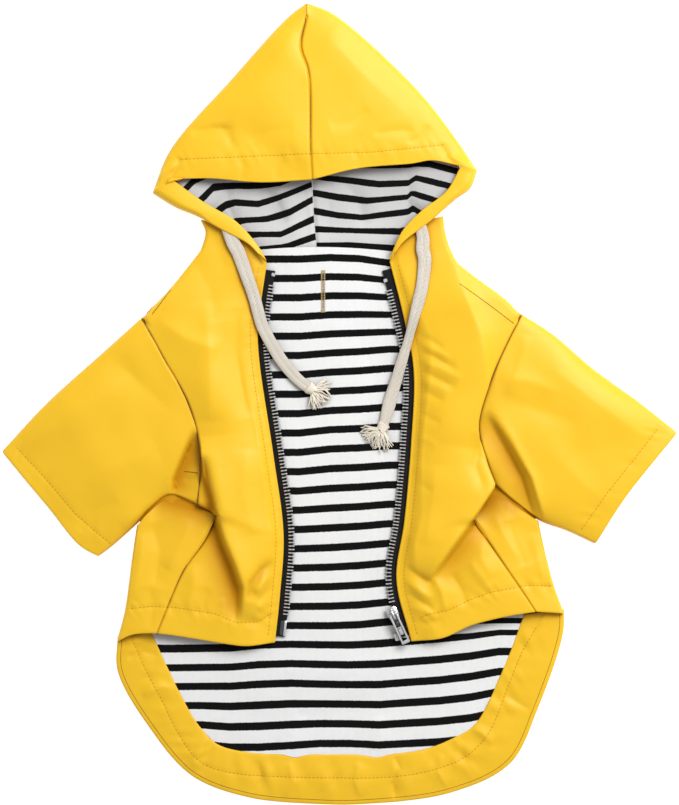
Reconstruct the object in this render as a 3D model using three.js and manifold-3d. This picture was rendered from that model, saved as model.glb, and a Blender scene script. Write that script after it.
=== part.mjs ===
// A dog raincoat lying open on its back: coated shell, striped jersey lining, hood, zip and drawstring.
// Millimetres, +Z up, +Y towards the hood. Left and right are as seen from above.
// Every cloth piece is a closed wall around a grid of middle points, worked out from its edges and sections.

import * as THREE from 'three';
import Module from 'manifold-3d';
import { mergeVertices } from 'three/addons/utils/BufferGeometryUtils.js';

// Driving dimensions
const shell = 1.2;              // wall of the coated cloth and of the jersey
const seamGap = 0.3;            // what neighbouring pieces keep at a seam
const tableLayer = shell / 2;   // middle height of the cloth that rests on the table
const liningLayer = tableLayer + shell + seamGap;
const underReach = 1.5;         // level part of a turned edge beyond its round fold
const tape = { wall: 1, hidden: 6, shown: 4.5, from: 0.02, to: 0.985 };
const teeth = { wall: 2, width: 2.7 };
const cord = { width: 8, thick: 2.2, sides: 12 };

const colours = {
  shell: 0xf9c92e,
  jersey: 0xececea,
  tape: 0x14161c,
  metal: 0xb9bcc0,
  cotton: 0xe9e0d0,
  film: 0x3a3d42,
};
const finishes = {
  shell: { color: colours.shell, roughness: 0.42, metalness: 0 },
  jersey: { color: colours.jersey, roughness: 0.9, metalness: 0 },
  tape: { color: colours.tape, roughness: 0.85, metalness: 0 },
  metal: { color: colours.metal, roughness: 0.3, metalness: 1 },
  cotton: { color: colours.cotton, roughness: 0.95, metalness: 0 },
  film: { color: colours.film, roughness: 0.25, metalness: 0 },
};

const coat = new THREE.Group();

function addPiece(name, geometry, finish) {
  const mesh = new THREE.Mesh(geometry, new THREE.MeshStandardMaterial(finishes[finish]));
  mesh.name = name;
  coat.add(mesh);
  return mesh;
}

// An edge is a smooth curve through rows of { x, y }, read by its share of length from 0 to 1.
function edge(rows) {
  const points = rows.map((row) => new THREE.Vector3(row.x, row.y, 0));
  const curve = new THREE.CatmullRomCurve3(points, false, 'centripetal');
  curve.arcLengthDivisions = 400;
  return (t) => curve.getPointAt(THREE.MathUtils.clamp(t, 0, 1));
}

const rounding = 1e-9;

// Edges laid end to end, each taking its share of the whole, so that a row falls on every corner.
function chain(parts) {
  return (t) => {
    let start = 0;
    for (const part of parts) {
      const last = part === parts[parts.length - 1];
      if (last || t <= start + part.share + rounding) {
        return part.along((t - start) / part.share);
      }
      start += part.share;
    }
    return null;
  };
}

// A number that changes smoothly along a table of { at, value } rows.
function graded(rows, at) {
  if (at <= rows[0].at) {
    return rows[0].value;
  }
  for (let i = 1; i < rows.length; i += 1) {
    if (at <= rows[i].at) {
      const share = (at - rows[i - 1].at) / (rows[i].at - rows[i - 1].at);
      const eased = share * share * (3 - 2 * share);
      return THREE.MathUtils.lerp(rows[i - 1].value, rows[i].value, eased);
    }
  }
  return rows[rows.length - 1].value;
}

// Height added at a plan point by a table of folds. Each row is a ridge, or a trough where its height
// is negative.
function foldHeight(folds, x, y) {
  let height = 0;
  for (const fold of folds) {
    const runX = fold.toX - fold.fromX;
    const runY = fold.toY - fold.fromY;
    const length = Math.hypot(runX, runY);
    const along = ((x - fold.fromX) * runX + (y - fold.fromY) * runY) / length ** 2;
    const across = ((x - fold.fromX) * runY - (y - fold.fromY) * runX) / length;
    const past = Math.max(0, -along, along - 1) * length;
    height += fold.height * Math.exp(-((across / fold.width) ** 2) - (past / fold.width) ** 2);
  }
  return height;
}

const levelEnough = 0.5;        // upward share of a normal from which a rim counts as level

// A closed wall around a grid of middle points. Rims of pieces that lie level are cut upright.
function wall(grid, thick, { ring = false, flip = false } = {}) {
  const rows = grid.length;
  const columns = grid[0].length;
  const at = (i, j) => grid[i][ring ? (j + columns) % columns : j];
  const outer = [];
  const inner = [];
  for (let i = 0; i < rows; i += 1) {
    for (let j = 0; j < columns; j += 1) {
      const before = ring || j > 0 ? at(i, j - 1) : at(i, j);
      const after = ring || j < columns - 1 ? at(i, j + 1) : at(i, j);
      const down = at(Math.max(i - 1, 0), j);
      const up = at(Math.min(i + 1, rows - 1), j);
      const across = after.clone().sub(before);
      const along = up.clone().sub(down);
      const normal = across.cross(along).normalize();
      if (flip) {
        normal.negate();
      }
      const endRow = i === 0 || i === rows - 1;
      const rim = endRow || (!ring && (j === 0 || j === columns - 1));
      if (rim && Math.abs(normal.z) > levelEnough) {
        normal.set(0, 0, Math.sign(normal.z));
      } else if (endRow) {
        const run = at(i, Math.floor(columns / 2)).clone().sub(at(i, 0)).setZ(0).normalize();
        const kept = run.multiplyScalar(normal.dot(run));
        normal.set(kept.x, kept.y, normal.z).normalize();
      }
      normal.multiplyScalar(thick / 2);
      outer.push(at(i, j).clone().add(normal));
      inner.push(at(i, j).clone().sub(normal));
    }
  }
  const positions = [...outer, ...inner].flatMap((p) => [p.x, p.y, p.z]);
  const faces = [];
  const quad = (a, b, c, d) => {
    if (flip) {
      faces.push(a, c, b, a, d, c);
    } else {
      faces.push(a, b, c, a, c, d);
    }
  };
  const under = rows * columns;
  const id = (i, j) => i * columns + (ring ? (j + columns) % columns : j);
  const lastColumn = ring ? columns : columns - 1;
  for (let i = 0; i < rows - 1; i += 1) {
    for (let j = 0; j < lastColumn; j += 1) {
      quad(id(i, j), id(i, j + 1), id(i + 1, j + 1), id(i + 1, j));
      quad(under + id(i, j), under + id(i + 1, j), under + id(i + 1, j + 1), under + id(i, j + 1));
    }
  }
  for (let j = 0; j < lastColumn; j += 1) {
    quad(id(0, j), under + id(0, j), under + id(0, j + 1), id(0, j + 1));
    const top = rows - 1;
    quad(id(top, j), id(top, j + 1), under + id(top, j + 1), under + id(top, j));
  }
  if (!ring) {
    for (let i = 0; i < rows - 1; i += 1) {
      const end = columns - 1;
      quad(id(i, 0), id(i + 1, 0), under + id(i + 1, 0), under + id(i, 0));
      quad(id(i, end), under + id(i, end), under + id(i + 1, end), id(i + 1, end));
    }
  }
  const geometry = new THREE.BufferGeometry();
  geometry.setAttribute('position', new THREE.Float32BufferAttribute(positions, 3));
  geometry.setIndex(faces);
  geometry.computeVertexNormals();
  return geometry;
}

// A level sheet between two edges that run the same way.
function levelSheet(from, to, rows, columns, height, { flip = false, thick = shell } = {}) {
  const grid = [];
  for (let i = 0; i <= rows; i += 1) {
    const start = from(i / rows);
    const end = to(i / rows);
    const row = [];
    for (let j = 0; j <= columns; j += 1) {
      const point = start.clone().lerp(end, j / columns);
      point.z = height;
      row.push(point);
    }
    grid.push(row);
  }
  return wall(grid, thick, { flip });
}

// Plan point of a patch held by four edges, u across from left to right and v from its start to its end.
function patchPoint(patch, u, v) {
  const blend = (a, b, t) => a.clone().multiplyScalar(1 - t).add(b.clone().multiplyScalar(t));
  const sides = blend(patch.outer(v), patch.inner(v), u);
  const ends = blend(patch.start(u), patch.end(u), v);
  const corners = blend(
    blend(patch.outer(0), patch.inner(0), u),
    blend(patch.outer(1), patch.inner(1), u),
    v,
  );
  return sides.add(ends).sub(corners);
}

// A straight edge between two points.
function straight(from, to) {
  return (t) => from.clone().lerp(to, t);
}

// Sections across a turned edge: under part, round fold, then the upper part to the inner edge.
// turn is 1 where the cloth turns under and 0 where it ends at a seam.
const turnAngles = [-90, -135, -180, -225, -270];
const rimSteps = [0, 0.9, 1.8, 2.7, 3.6, 4.6];
const inwardLook = 0.12;        // share of the width at which the inward direction is taken
const widestTurn = 0.6;         // most of the width that a turned edge may take

function turnedRow(plan, v, section, upperSteps, upperHeight) {
  const outermost = plan(0, v);
  const inward = plan(inwardLook, v).sub(outermost).setZ(0).normalize();
  const radius = (section.top - section.foot) / 2;
  const place = (distance, height) => {
    const point = outermost.clone().addScaledVector(inward, distance);
    point.z = height;
    return point;
  };
  const turned = [place(radius + section.under, section.foot)];
  for (const degrees of turnAngles) {
    const angle = THREE.MathUtils.degToRad(degrees);
    turned.push(place(radius * (1 + Math.cos(angle)), section.foot + radius * (1 + Math.sin(angle))));
  }
  const row = turned.map((point, k) => {
    const rim = place(rimSteps[k], section.top);
    return rim.lerp(point, section.turn);
  });
  const last = row[row.length - 1];
  const reach = last.distanceTo(outermost.clone().setZ(last.z));
  const width = plan(1, v).setZ(0).distanceTo(outermost.clone().setZ(0));
  const startShare = Math.min(reach / width, widestTurn);
  for (let k = 1; k <= upperSteps; k += 1) {
    const u = startShare + (1 - startShare) * (k / upperSteps);
    const point = plan(u, v);
    point.z = upperHeight(u, v, point, section);
    row.push(point);
  }
  return row;
}

// Outlines shared by neighbouring pieces
const leftShoulder = edge([
  { x: -89.9, y: 99.1 }, { x: -110.2, y: 73.8 }, { x: -128.2, y: 55.1 },
]);
const rightShoulder = edge([
  { x: 76.4, y: 91 }, { x: 88.7, y: 81.2 }, { x: 107.4, y: 67.4 }, { x: 118.2, y: 57.3 },
]);
const leftNeck = edge([
  { x: -90, y: 119 }, { x: -86.8, y: 111 }, { x: -89.9, y: 99.1 },
]);
const rightNeck = edge([
  { x: 67.2, y: 121.5 }, { x: 68.3, y: 112 }, { x: 71.4, y: 101 }, { x: 76.4, y: 91 },
]);
const leftArmhole = edge([
  { x: -128.2, y: 55.1 }, { x: -113.2, y: 27.5 }, { x: -97.6, y: -0.8 }, { x: -90.1, y: -32.2 },
  { x: -91.6, y: -65.8 },
]);
const rightArmhole = edge([
  { x: 118.2, y: 57.3 }, { x: 110.4, y: 42.5 }, { x: 97.3, y: 12.5 }, { x: 90.3, y: -15 },
  { x: 95.8, y: -38.2 }, { x: 101.1, y: -53.1 },
]);
const leftSideSeam = edge([
  { x: -79.6, y: -72.8 }, { x: -87.4, y: -89 }, { x: -101.1, y: -109.2 }, { x: -118, y: -148.8 },
]);
const rightSideSeam = edge([
  { x: 86.9, y: -76.2 }, { x: 101.1, y: -96.9 }, { x: 116, y: -118.6 }, { x: 126.9, y: -134.8 },
]);
const leftZipEdge = edge([
  { x: -47.8, y: 91.7 }, { x: -53.6, y: 48.4 }, { x: -52.8, y: 27.5 }, { x: -43.9, y: -32.2 },
  { x: -37.1, y: -85.8 }, { x: -39.4, y: -124.3 }, { x: -42.6, y: -155.1 },
]);
const rightZipEdge = edge([
  { x: 33, y: 92.5 }, { x: 42.1, y: 57.3 }, { x: 48.8, y: 21.5 }, { x: 47.3, y: -24.7 },
  { x: 42.8, y: -77 }, { x: 37.7, y: -114.5 }, { x: 47.1, y: -154.2 },
]);
const leftSideFold = edge([
  { x: -131.4, y: -80 }, { x: -134.6, y: -101.1 }, { x: -139.2, y: -134.8 }, { x: -144.2, y: -154.1 },
]);
const rightSideFold = edge([
  { x: 129, y: -76.8 }, { x: 134.5, y: -101.1 }, { x: 139.2, y: -118.6 }, { x: 145.5, y: -136 },
]);

// Rows of points along the level pieces
const levelRows = { back: 36, facing: 60, lining: 40, hood: 26, zip: 30 };

// Back panel and its lining, level on the table
const backLeft = edge([
  { x: -82, y: 99 }, { x: -103, y: 72 }, { x: -120, y: 50 }, { x: -104, y: 18 }, { x: -90, y: -12 },
  { x: -83, y: -46 }, { x: -89, y: -70 }, { x: -108, y: -73 }, { x: -123, y: -80 }, { x: -127, y: -104 },
  { x: -133, y: -142 }, { x: -136.5, y: -152.5 }, { x: -144.4, y: -158.8 }, { x: -143.7, y: -174.5 },
  { x: -123.8, y: -210.3 }, { x: -96, y: -242.1 }, { x: -60, y: -256 }, { x: -16.4, y: -260.5 },
]);
const backRight = edge([
  { x: 66, y: 99 }, { x: 82, y: 74 }, { x: 110, y: 52 }, { x: 100, y: 22 }, { x: 86, y: -12 },
  { x: 88, y: -45 }, { x: 98, y: -66 }, { x: 121, y: -78 }, { x: 127, y: -104 }, { x: 133.5, y: -127 },
  { x: 137, y: -136 }, { x: 145.6, y: -141.4 }, { x: 144.6, y: -150.8 }, { x: 128.8, y: -198.3 },
  { x: 111, y: -234.1 }, { x: 73.1, y: -253 }, { x: 17.4, y: -260.5 },
]);
addPiece('back_panel', levelSheet(backLeft, backRight, levelRows.back, 2, tableLayer), 'shell');

const facingOuter = edge([
  { x: -143.6, y: -158.5 }, { x: -143.3, y: -174.5 }, { x: -123.4, y: -210 }, { x: -95.7, y: -241.7 },
  { x: -60, y: -255.5 }, { x: -16.4, y: -260 }, { x: 17.4, y: -260 }, { x: 73, y: -252.5 },
  { x: 110.6, y: -233.7 }, { x: 128.4, y: -198 }, { x: 144.4, y: -150.6 }, { x: 145.4, y: -140.5 },
]);
const facingInnerRows = [
  { x: -122.9, y: -149.6 }, { x: -103.9, y: -190.4 }, { x: -92, y: -210.3 }, { x: -80, y: -222.6 },
  { x: -60, y: -228 }, { x: -36.3, y: -229.2 }, { x: 0, y: -229.4 }, { x: 33.3, y: -229.2 },
  { x: 55.2, y: -226.2 }, { x: 75.1, y: -218.3 }, { x: 89, y: -209.3 }, { x: 105, y: -178.4 },
  { x: 120.9, y: -137.7 },
];
const facingInner = edge(facingInnerRows);
const facingSheet = levelSheet(facingOuter, facingInner, levelRows.facing, 1, liningLayer, { flip: true });
addPiece('tail_facing', facingSheet, 'shell');

const liningLeft = edge([
  { x: -70, y: 98.6 }, { x: -92, y: 66 }, { x: -106, y: 48 }, { x: -94, y: 14 }, { x: -82, y: -14 },
  { x: -78, y: -48 }, { x: -96, y: -82 }, { x: -116, y: -104 }, { x: -122, y: -146.5 },
]);
const liningRight = edge([
  { x: 55, y: 98.6 }, { x: 74, y: 68 }, { x: 96, y: 48 }, { x: 90, y: 16 }, { x: 78, y: -14 },
  { x: 80, y: -48 }, { x: 92, y: -80 }, { x: 114, y: -104 }, { x: 119.6, y: -136.6 },
]);
const liningTailInset = 0.6;    // what the lining keeps from the facing
const tailStep = 0.01;          // share of the facing over which its direction is taken
const tailHalf = 0.44;          // share of the facing that each side of the lining follows
const liningShares = { side: 0.5, tail: 0.5 };
const liningTail = (t) => {
  const here = facingInner(t);
  const behind = facingInner(t - tailStep);
  const ahead = facingInner(t + tailStep);
  const run = ahead.sub(behind).normalize();
  return here.add(new THREE.Vector3(-run.y, run.x, 0).multiplyScalar(liningTailInset));
};
const liningLeftSide = chain([
  { along: liningLeft, share: liningShares.side },
  { along: (t) => liningTail(t * tailHalf), share: liningShares.tail },
]);
const liningRightSide = chain([
  { along: liningRight, share: liningShares.side },
  { along: (t) => liningTail(1 - t * tailHalf), share: liningShares.tail },
]);
const liningSheet = levelSheet(liningLeftSide, liningRightSide, levelRows.lining, 2, liningLayer);
addPiece('back_lining', liningSheet, 'jersey');

// Fronts: sections from the neck to the hem. Each row of a table is a place along the front.
const frontRows = 34;
const frontUpper = 9;
const frontShares = { neck: 0.08, shoulder: 0.16, armhole: 0.44, sideSeam: 0.32 };
const hemLift = 9;

const fronts = {
  left: {
    flip: false,
    outer: chain([
      { along: leftNeck, share: frontShares.neck },
      { along: leftShoulder, share: frontShares.shoulder },
      { along: leftArmhole, share: frontShares.armhole },
      { along: chain([
        { along: straight(leftArmhole(1), leftSideSeam(0)), share: 0.12 },
        { along: leftSideSeam, share: 0.88 },
      ]), share: frontShares.sideSeam },
    ]),
    inner: leftZipEdge,
    start: edge([
      { x: -90, y: 119 }, { x: -75, y: 115.4 }, { x: -61, y: 105.8 }, { x: -47.8, y: 91.7 },
    ]),
    end: edge([
      { x: -118, y: -148.8 }, { x: -106, y: -150.3 }, { x: -72.7, y: -155.7 }, { x: -60.3, y: -156.9 },
      { x: -42.6, y: -155.1 },
    ]),
    folds: [
      { fromX: -66, fromY: -60, toX: -58, toY: -112, width: 10, height: 3.4 },
      { fromX: -82, fromY: -84, toX: -74, toY: -122, width: 6, height: -1.6 },
      { fromX: -84, fromY: 30, toX: -76, toY: -40, width: 12, height: 1.8 },
    ],
  },
  right: {
    flip: true,
    outer: chain([
      { along: rightNeck, share: frontShares.neck },
      { along: rightShoulder, share: frontShares.shoulder },
      { along: rightArmhole, share: frontShares.armhole },
      { along: chain([
        { along: straight(rightArmhole(1), rightSideSeam(0)), share: 0.2 },
        { along: rightSideSeam, share: 0.8 },
      ]), share: frontShares.sideSeam },
    ]),
    inner: rightZipEdge,
    start: edge([
      { x: 67.2, y: 121.5 }, { x: 53, y: 117 }, { x: 41, y: 107 }, { x: 33, y: 92.5 },
    ]),
    end: edge([
      { x: 126.9, y: -134.8 }, { x: 108.9, y: -137.7 }, { x: 85.7, y: -143.5 }, { x: 67.2, y: -151.6 },
      { x: 47.1, y: -154.2 },
    ]),
    folds: [
      { fromX: 84, fromY: -62, toX: 62, toY: -104, width: 10, height: 3.4 },
      { fromX: 82, fromY: -104, toX: 96, toY: -128, width: 6, height: -1.6 },
      { fromX: 74, fromY: 34, toX: 72, toY: -36, width: 12, height: 1.8 },
    ],
  },
};
const frontTurn = [
  { at: 0, value: 1 }, { at: 0.2, value: 1 }, { at: 0.27, value: 0 }, { at: 1, value: 0 },
];
const frontEdgeHeight = [
  { at: 0, value: 6.4 }, { at: 0.1, value: 6.8 }, { at: 0.2, value: 8.6 }, { at: 0.4, value: 9.4 },
  { at: 0.7, value: 9.8 }, { at: 1, value: hemLift },
];
const frontCrown = [
  { at: 0, value: 0 }, { at: 0.08, value: 0.2 }, { at: 0.2, value: 1.6 }, { at: 0.5, value: 2.4 },
  { at: 1, value: 0.4 },
];
const zipEdgeHeight = 4.9;
const zipRise = 0.3;            // share of the front's width over which it settles onto the zip

for (const [side, front] of Object.entries(fronts)) {
  const plan = (u, v) => patchPoint(front, u, v);
  const grid = [];
  for (let i = 0; i <= frontRows; i += 1) {
    const v = i / frontRows;
    const section = {
      foot: tableLayer,
      top: graded(frontEdgeHeight, v),
      under: underReach,
      turn: graded(frontTurn, v),
    };
    const height = (u, along, point) => {
      const settle = graded([
        { at: 0, value: 1 }, { at: 1 - zipRise, value: 1 }, { at: 1, value: 0 },
      ], u);
      const crown = graded(frontCrown, along) * Math.sin(Math.PI * Math.min(u / (1 - zipRise), 1));
      const full = section.top + crown + foldHeight(front.folds, point.x, point.y);
      return THREE.MathUtils.lerp(zipEdgeHeight, full, settle);
    };
    grid.push(turnedRow(plan, v, section, frontUpper, height));
  }
  addPiece(`front_${side}`, wall(grid, shell, { flip: front.flip }), 'shell');
}

// Side wraps: the back panel's cloth that comes round the side fold to the side seam on the front.
const wrapCrown = 0.8;
const sideSeamShift = { left: new THREE.Vector3(-0.45, 0.1, 0), right: new THREE.Vector3(0.45, 0.1, 0) };
const wraps = {
  left: {
    flip: false,
    outer: leftSideFold,
    inner: leftSideSeam,
    start: edge([
      { x: -131.4, y: -80 }, { x: -124.5, y: -71.8 }, { x: -110.6, y: -62.2 }, { x: -92.3, y: -68 },
      { x: -79.6, y: -72.8 },
    ]),
    end: edge([
      { x: -144.2, y: -154.1 }, { x: -134.9, y: -149.9 }, { x: -124, y: -148.7 }, { x: -118, y: -148.8 },
    ]),
    folds: [
      { fromX: -118, fromY: -78, toX: -112, toY: -110, width: 7, height: -1.4 },
    ],
  },
  right: {
    flip: true,
    outer: rightSideFold,
    inner: rightSideSeam,
    start: edge([
      { x: 129, y: -76.8 }, { x: 113.4, y: -66.4 }, { x: 102.4, y: -59 }, { x: 94, y: -66 },
      { x: 86.9, y: -76.2 },
    ]),
    end: edge([
      { x: 145.5, y: -136 }, { x: 138, y: -135.4 }, { x: 126.9, y: -134.8 },
    ]),
    folds: [
      { fromX: 110, fromY: -76, toX: 118, toY: -100, width: 7, height: -1.2 },
    ],
  },
};
const wrapRows = 14;
const wrapUpper = 6;
const wrapTop = [
  { at: 0, value: 8.2 }, { at: 0.5, value: 8.8 }, { at: 1, value: 9.2 },
];
for (const [side, wrap] of Object.entries(wraps)) {
  const plan = (u, v) => patchPoint(wrap, u, v).addScaledVector(sideSeamShift[side], u);
  const grid = [];
  for (let i = 0; i <= wrapRows; i += 1) {
    const v = i / wrapRows;
    const section = { foot: tableLayer, top: graded(wrapTop, v), under: underReach, turn: 1 };
    const height = (u, along, point) => section.top + wrapCrown * Math.sin(Math.PI * u)
      + foldHeight(wrap.folds, point.x, point.y);
    grid.push(turnedRow(plan, v, section, wrapUpper, height));
  }
  addPiece(`side_wrap_${side}`, wall(grid, shell, { flip: wrap.flip }), 'shell');
}

// Sleeves: flattened tubes, rings from the cuff to the armhole, the lower layer on the table.
const sleeveRows = 12;
const ringUpper = 14;
const ringLower = 6;
const armholeGap = 0.5;
const sleeves = {
  left: {
    flip: false,
    outer: edge([
      { x: -156.5, y: -99.3 }, { x: -147.6, y: -92.6 }, { x: -131.2, y: -77.7 }, { x: -123.7, y: -69.5 },
      { x: -110.2, y: -59.8 }, { x: -91.6, y: -65.8 },
    ]),
    inner: edge([
      { x: -219, y: -31 }, { x: -190.8, y: -0.8 }, { x: -153.5, y: 32.7 }, { x: -128.2, y: 55.1 },
    ]),
    start: edge([
      { x: -156.5, y: -99.3 }, { x: -168.5, y: -91.9 }, { x: -189.3, y: -66.5 }, { x: -219, y: -31 },
    ]),
    end: (u) => leftArmhole(1 - u),
    away: -1,
    folds: [
      { fromX: -97, fromY: -24, toX: -104, toY: -58, width: 8, height: -3 },
      { fromX: -190, fromY: -20, toX: -120, toY: 20, width: 16, height: 1.4 },
    ],
  },
  right: {
    flip: true,
    outer: edge([
      { x: 165.9, y: -91.1 }, { x: 148.1, y: -82.9 }, { x: 130.1, y: -76.2 }, { x: 113.6, y: -64 },
      { x: 101.1, y: -53.1 },
    ]),
    inner: edge([
      { x: 219, y: -18.8 }, { x: 194.3, y: 0.7 }, { x: 164.5, y: 22.3 }, { x: 139.1, y: 43.9 },
      { x: 118.2, y: 57.3 },
    ]),
    start: edge([
      { x: 165.9, y: -91.1 }, { x: 185.4, y: -60.5 }, { x: 219, y: -18.8 },
    ]),
    end: (u) => rightArmhole(1 - u),
    away: 1,
    folds: [
      { fromX: 100, fromY: -12, toX: 122, toY: -56, width: 8, height: -3 },
      { fromX: 190, fromY: -6, toX: 120, toY: 24, width: 16, height: 1.4 },
    ],
  },
};
const sleeveRise = [
  { at: 0, value: 8.6 }, { at: 0.5, value: 11 }, { at: 1, value: 9 },
];
const ringPower = 0.7;
for (const [side, sleeve] of Object.entries(sleeves)) {
  const grid = [];
  for (let i = 0; i <= sleeveRows; i += 1) {
    const v = i / sleeveRows;
    const rise = graded(sleeveRise, v);
    const place = (u) => patchPoint(sleeve, u, v).add(new THREE.Vector3(sleeve.away * armholeGap * v, 0, 0));
    const ring = [];
    for (let k = 0; k <= ringUpper; k += 1) {
      const angle = Math.PI * (k / ringUpper);
      const spread = Math.sign(Math.cos(angle)) * Math.abs(Math.cos(angle)) ** ringPower;
      const lift = Math.max(Math.sin(angle), 0) ** ringPower;
      const point = place((1 - spread) / 2);
      point.z = tableLayer + lift * (rise + foldHeight(sleeve.folds, point.x, point.y));
      ring.push(point);
    }
    for (let k = 1; k < ringLower; k += 1) {
      ring.push(place(1 - k / ringLower).setZ(tableLayer));
    }
    grid.push(ring);
  }
  addPiece(`sleeve_${side}`, wall(grid, shell, { ring: true, flip: sleeve.flip }), 'shell');
}

// Hood: the upper half of each side turns under round the silhouette and ends in the turned-out cheek band.
const hoodRows = 34;
const hoodUpper = 7;
const hoodShares = { slope: 0.62, seam: 0.36, brim: 0.26, cheek: 0.38 };
const hoods = {
  left: {
    flip: true,
    outer: chain([
      { along: edge([
        { x: -21.55, y: 260 }, { x: -33.2, y: 251 }, { x: -69.7, y: 210.9 }, { x: -109.8, y: 164.5 },
        { x: -121.3, y: 136.5 },
      ]), share: hoodShares.slope },
      { along: edge([
        { x: -121.3, y: 136.5 }, { x: -106, y: 127.1 }, { x: -92.4, y: 121.5 }, { x: -76.8, y: 112.8 },
        { x: -59.5, y: 103.5 }, { x: -53, y: 97.4 },
      ]), share: hoodShares.cheek },
    ]),
    inner: chain([
      { along: edge([
        { x: -21.55, y: 251 }, { x: -25.2, y: 230.9 }, { x: -20.3, y: 214.5 }, { x: -18.9, y: 163.5 },
        { x: -18, y: 145.2 },
      ]), share: hoodShares.seam },
      { along: edge([
        { x: -18, y: 145.2 }, { x: -51.5, y: 143.4 }, { x: -84.3, y: 145.9 }, { x: -109.9, y: 145.2 },
      ]), share: hoodShares.brim },
      { along: edge([
        { x: -109.9, y: 145.2 }, { x: -89.2, y: 130.3 }, { x: -67.5, y: 117.2 }, { x: -53.2, y: 101.6 },
        { x: -47.8, y: 92.6 },
      ]), share: hoodShares.cheek },
    ]),
    under: edge([
      { x: -22.2, y: 251 }, { x: -31, y: 244 }, { x: -64, y: 206 }, { x: -94, y: 171 },
      { x: -104, y: 157 }, { x: -107.5, y: 144.5 }, { x: -96, y: 134 }, { x: -82, y: 122 },
      { x: -79, y: 112 }, { x: -81, y: 99.7 },
    ]),
    seamShift: -0.15,
  },
  right: {
    flip: false,
    outer: chain([
      { along: edge([
        { x: -21.15, y: 260 }, { x: -4.1, y: 252.9 }, { x: 48.8, y: 205.4 }, { x: 76.2, y: 170.8 },
        { x: 89.3, y: 151 },
      ]), share: hoodShares.slope },
      { along: edge([
        { x: 89.3, y: 151 }, { x: 84.8, y: 139.6 }, { x: 75.7, y: 132.7 }, { x: 57.7, y: 117.2 },
        { x: 40.9, y: 104.1 }, { x: 36.6, y: 98.6 },
      ]), share: hoodShares.cheek },
    ]),
    inner: chain([
      { along: edge([
        { x: -21.15, y: 251 }, { x: -24.8, y: 230.9 }, { x: -19.9, y: 214.5 }, { x: -18.5, y: 163.5 },
        { x: -17.6, y: 145.2 },
      ]), share: hoodShares.seam },
      { along: edge([
        { x: -17.6, y: 145.2 }, { x: 12.3, y: 152.5 }, { x: 47, y: 155.6 }, { x: 60.7, y: 157.6 },
        { x: 79.5, y: 153.6 },
      ]), share: hoodShares.brim },
      { along: edge([
        { x: 79.5, y: 153.6 }, { x: 70.1, y: 137.4 }, { x: 53.4, y: 124 }, { x: 41.5, y: 111.6 },
        { x: 32.6, y: 93.6 },
      ]), share: hoodShares.cheek },
    ]),
    under: edge([
      { x: -20.5, y: 251 }, { x: -8, y: 245 }, { x: 40, y: 201.5 }, { x: 68, y: 167 }, { x: 79, y: 151 },
      { x: 76, y: 142.5 }, { x: 69, y: 135 }, { x: 59, y: 122 }, { x: 59, y: 112 }, { x: 64, y: 99.7 },
    ]),
    seamShift: 0.15,
  },
};
const hoodFoot = [
  { at: 0, value: tableLayer }, { at: 0.68, value: tableLayer }, { at: 0.74, value: 9.2 },
  { at: 1, value: 8.2 },
];
const hoodTop = [
  { at: 0, value: 8 }, { at: 0.2, value: 11 }, { at: 0.45, value: 12 }, { at: 0.62, value: 10.6 },
  { at: 0.74, value: 11.6 }, { at: 1, value: 10.6 },
];
const hoodInner = [
  { at: 0, value: 8.4 }, { at: 0.15, value: 12 }, { at: 0.3, value: 13.5 }, { at: 0.38, value: 11.5 },
  { at: 0.62, value: 9.6 }, { at: 0.8, value: 10.6 }, { at: 1, value: 9.4 },
];
const hoodCrown = [
  { at: 0, value: 0.5 }, { at: 0.25, value: 4 }, { at: 0.45, value: 3.6 }, { at: 0.6, value: 0.8 },
  { at: 1, value: 0.3 },
];
const hoodCentre = edge([
  { x: -21.4, y: 251 }, { x: -20.5, y: 214 }, { x: -18.7, y: 163.5 }, { x: -16.6, y: 122 },
  { x: -14.5, y: 99.7 },
]);
for (const [side, hood] of Object.entries(hoods)) {
  const plan = (u, v) => hood.outer(v).lerp(hood.inner(v), u);
  const grid = [];
  for (let i = 0; i <= hoodRows; i += 1) {
    const v = i / hoodRows;
    const section = { foot: graded(hoodFoot, v), top: graded(hoodTop, v), under: underReach, turn: 1 };
    const height = (u, along) => THREE.MathUtils.lerp(section.top, graded(hoodInner, along), u)
      + graded(hoodCrown, along) * Math.sin(Math.PI * u);
    grid.push(turnedRow(plan, v, section, hoodUpper, height));
  }
  addPiece(`hood_${side}`, wall(grid, shell, { flip: hood.flip }), 'shell');
  const centre = (t) => hoodCentre(t).add(new THREE.Vector3(hood.seamShift, 0, 0));
  const flip = !hood.flip;
  const level = (height) => levelSheet(hood.under, centre, levelRows.hood, 1, height, { flip });
  addPiece(`hood_back_${side}`, level(tableLayer), 'shell');
  addPiece(`hood_lining_${side}`, level(liningLayer), 'jersey');
}

const runStep = 0.004;          // share of an edge over which its direction is taken

// An edge moved sideways in plan by a distance, to the left of its run where that is positive.
function beside(along, distance) {
  return (t) => {
    const run = along(t + runStep).sub(along(t - runStep)).setZ(0).normalize();
    return along(t).add(new THREE.Vector3(-run.y, run.x, 0).multiplyScalar(distance));
  };
}

// Part of an edge, from one share of its length to another.
function stretch(along, from, to) {
  return (t) => along(THREE.MathUtils.lerp(from, to, t));
}

// A solid of one plan outline between two heights.
function plate(rows, bottom, thick, holes = []) {
  const shape = new THREE.Shape(rows.map((row) => new THREE.Vector2(row.x, row.y)));
  for (const hole of holes) {
    shape.holes.push(new THREE.Path(hole.map((row) => new THREE.Vector2(row.x, row.y))));
  }
  const geometry = new THREE.ExtrudeGeometry(shape, { depth: thick, bevelEnabled: false });
  return geometry.translate(0, 0, bottom);
}

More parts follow.
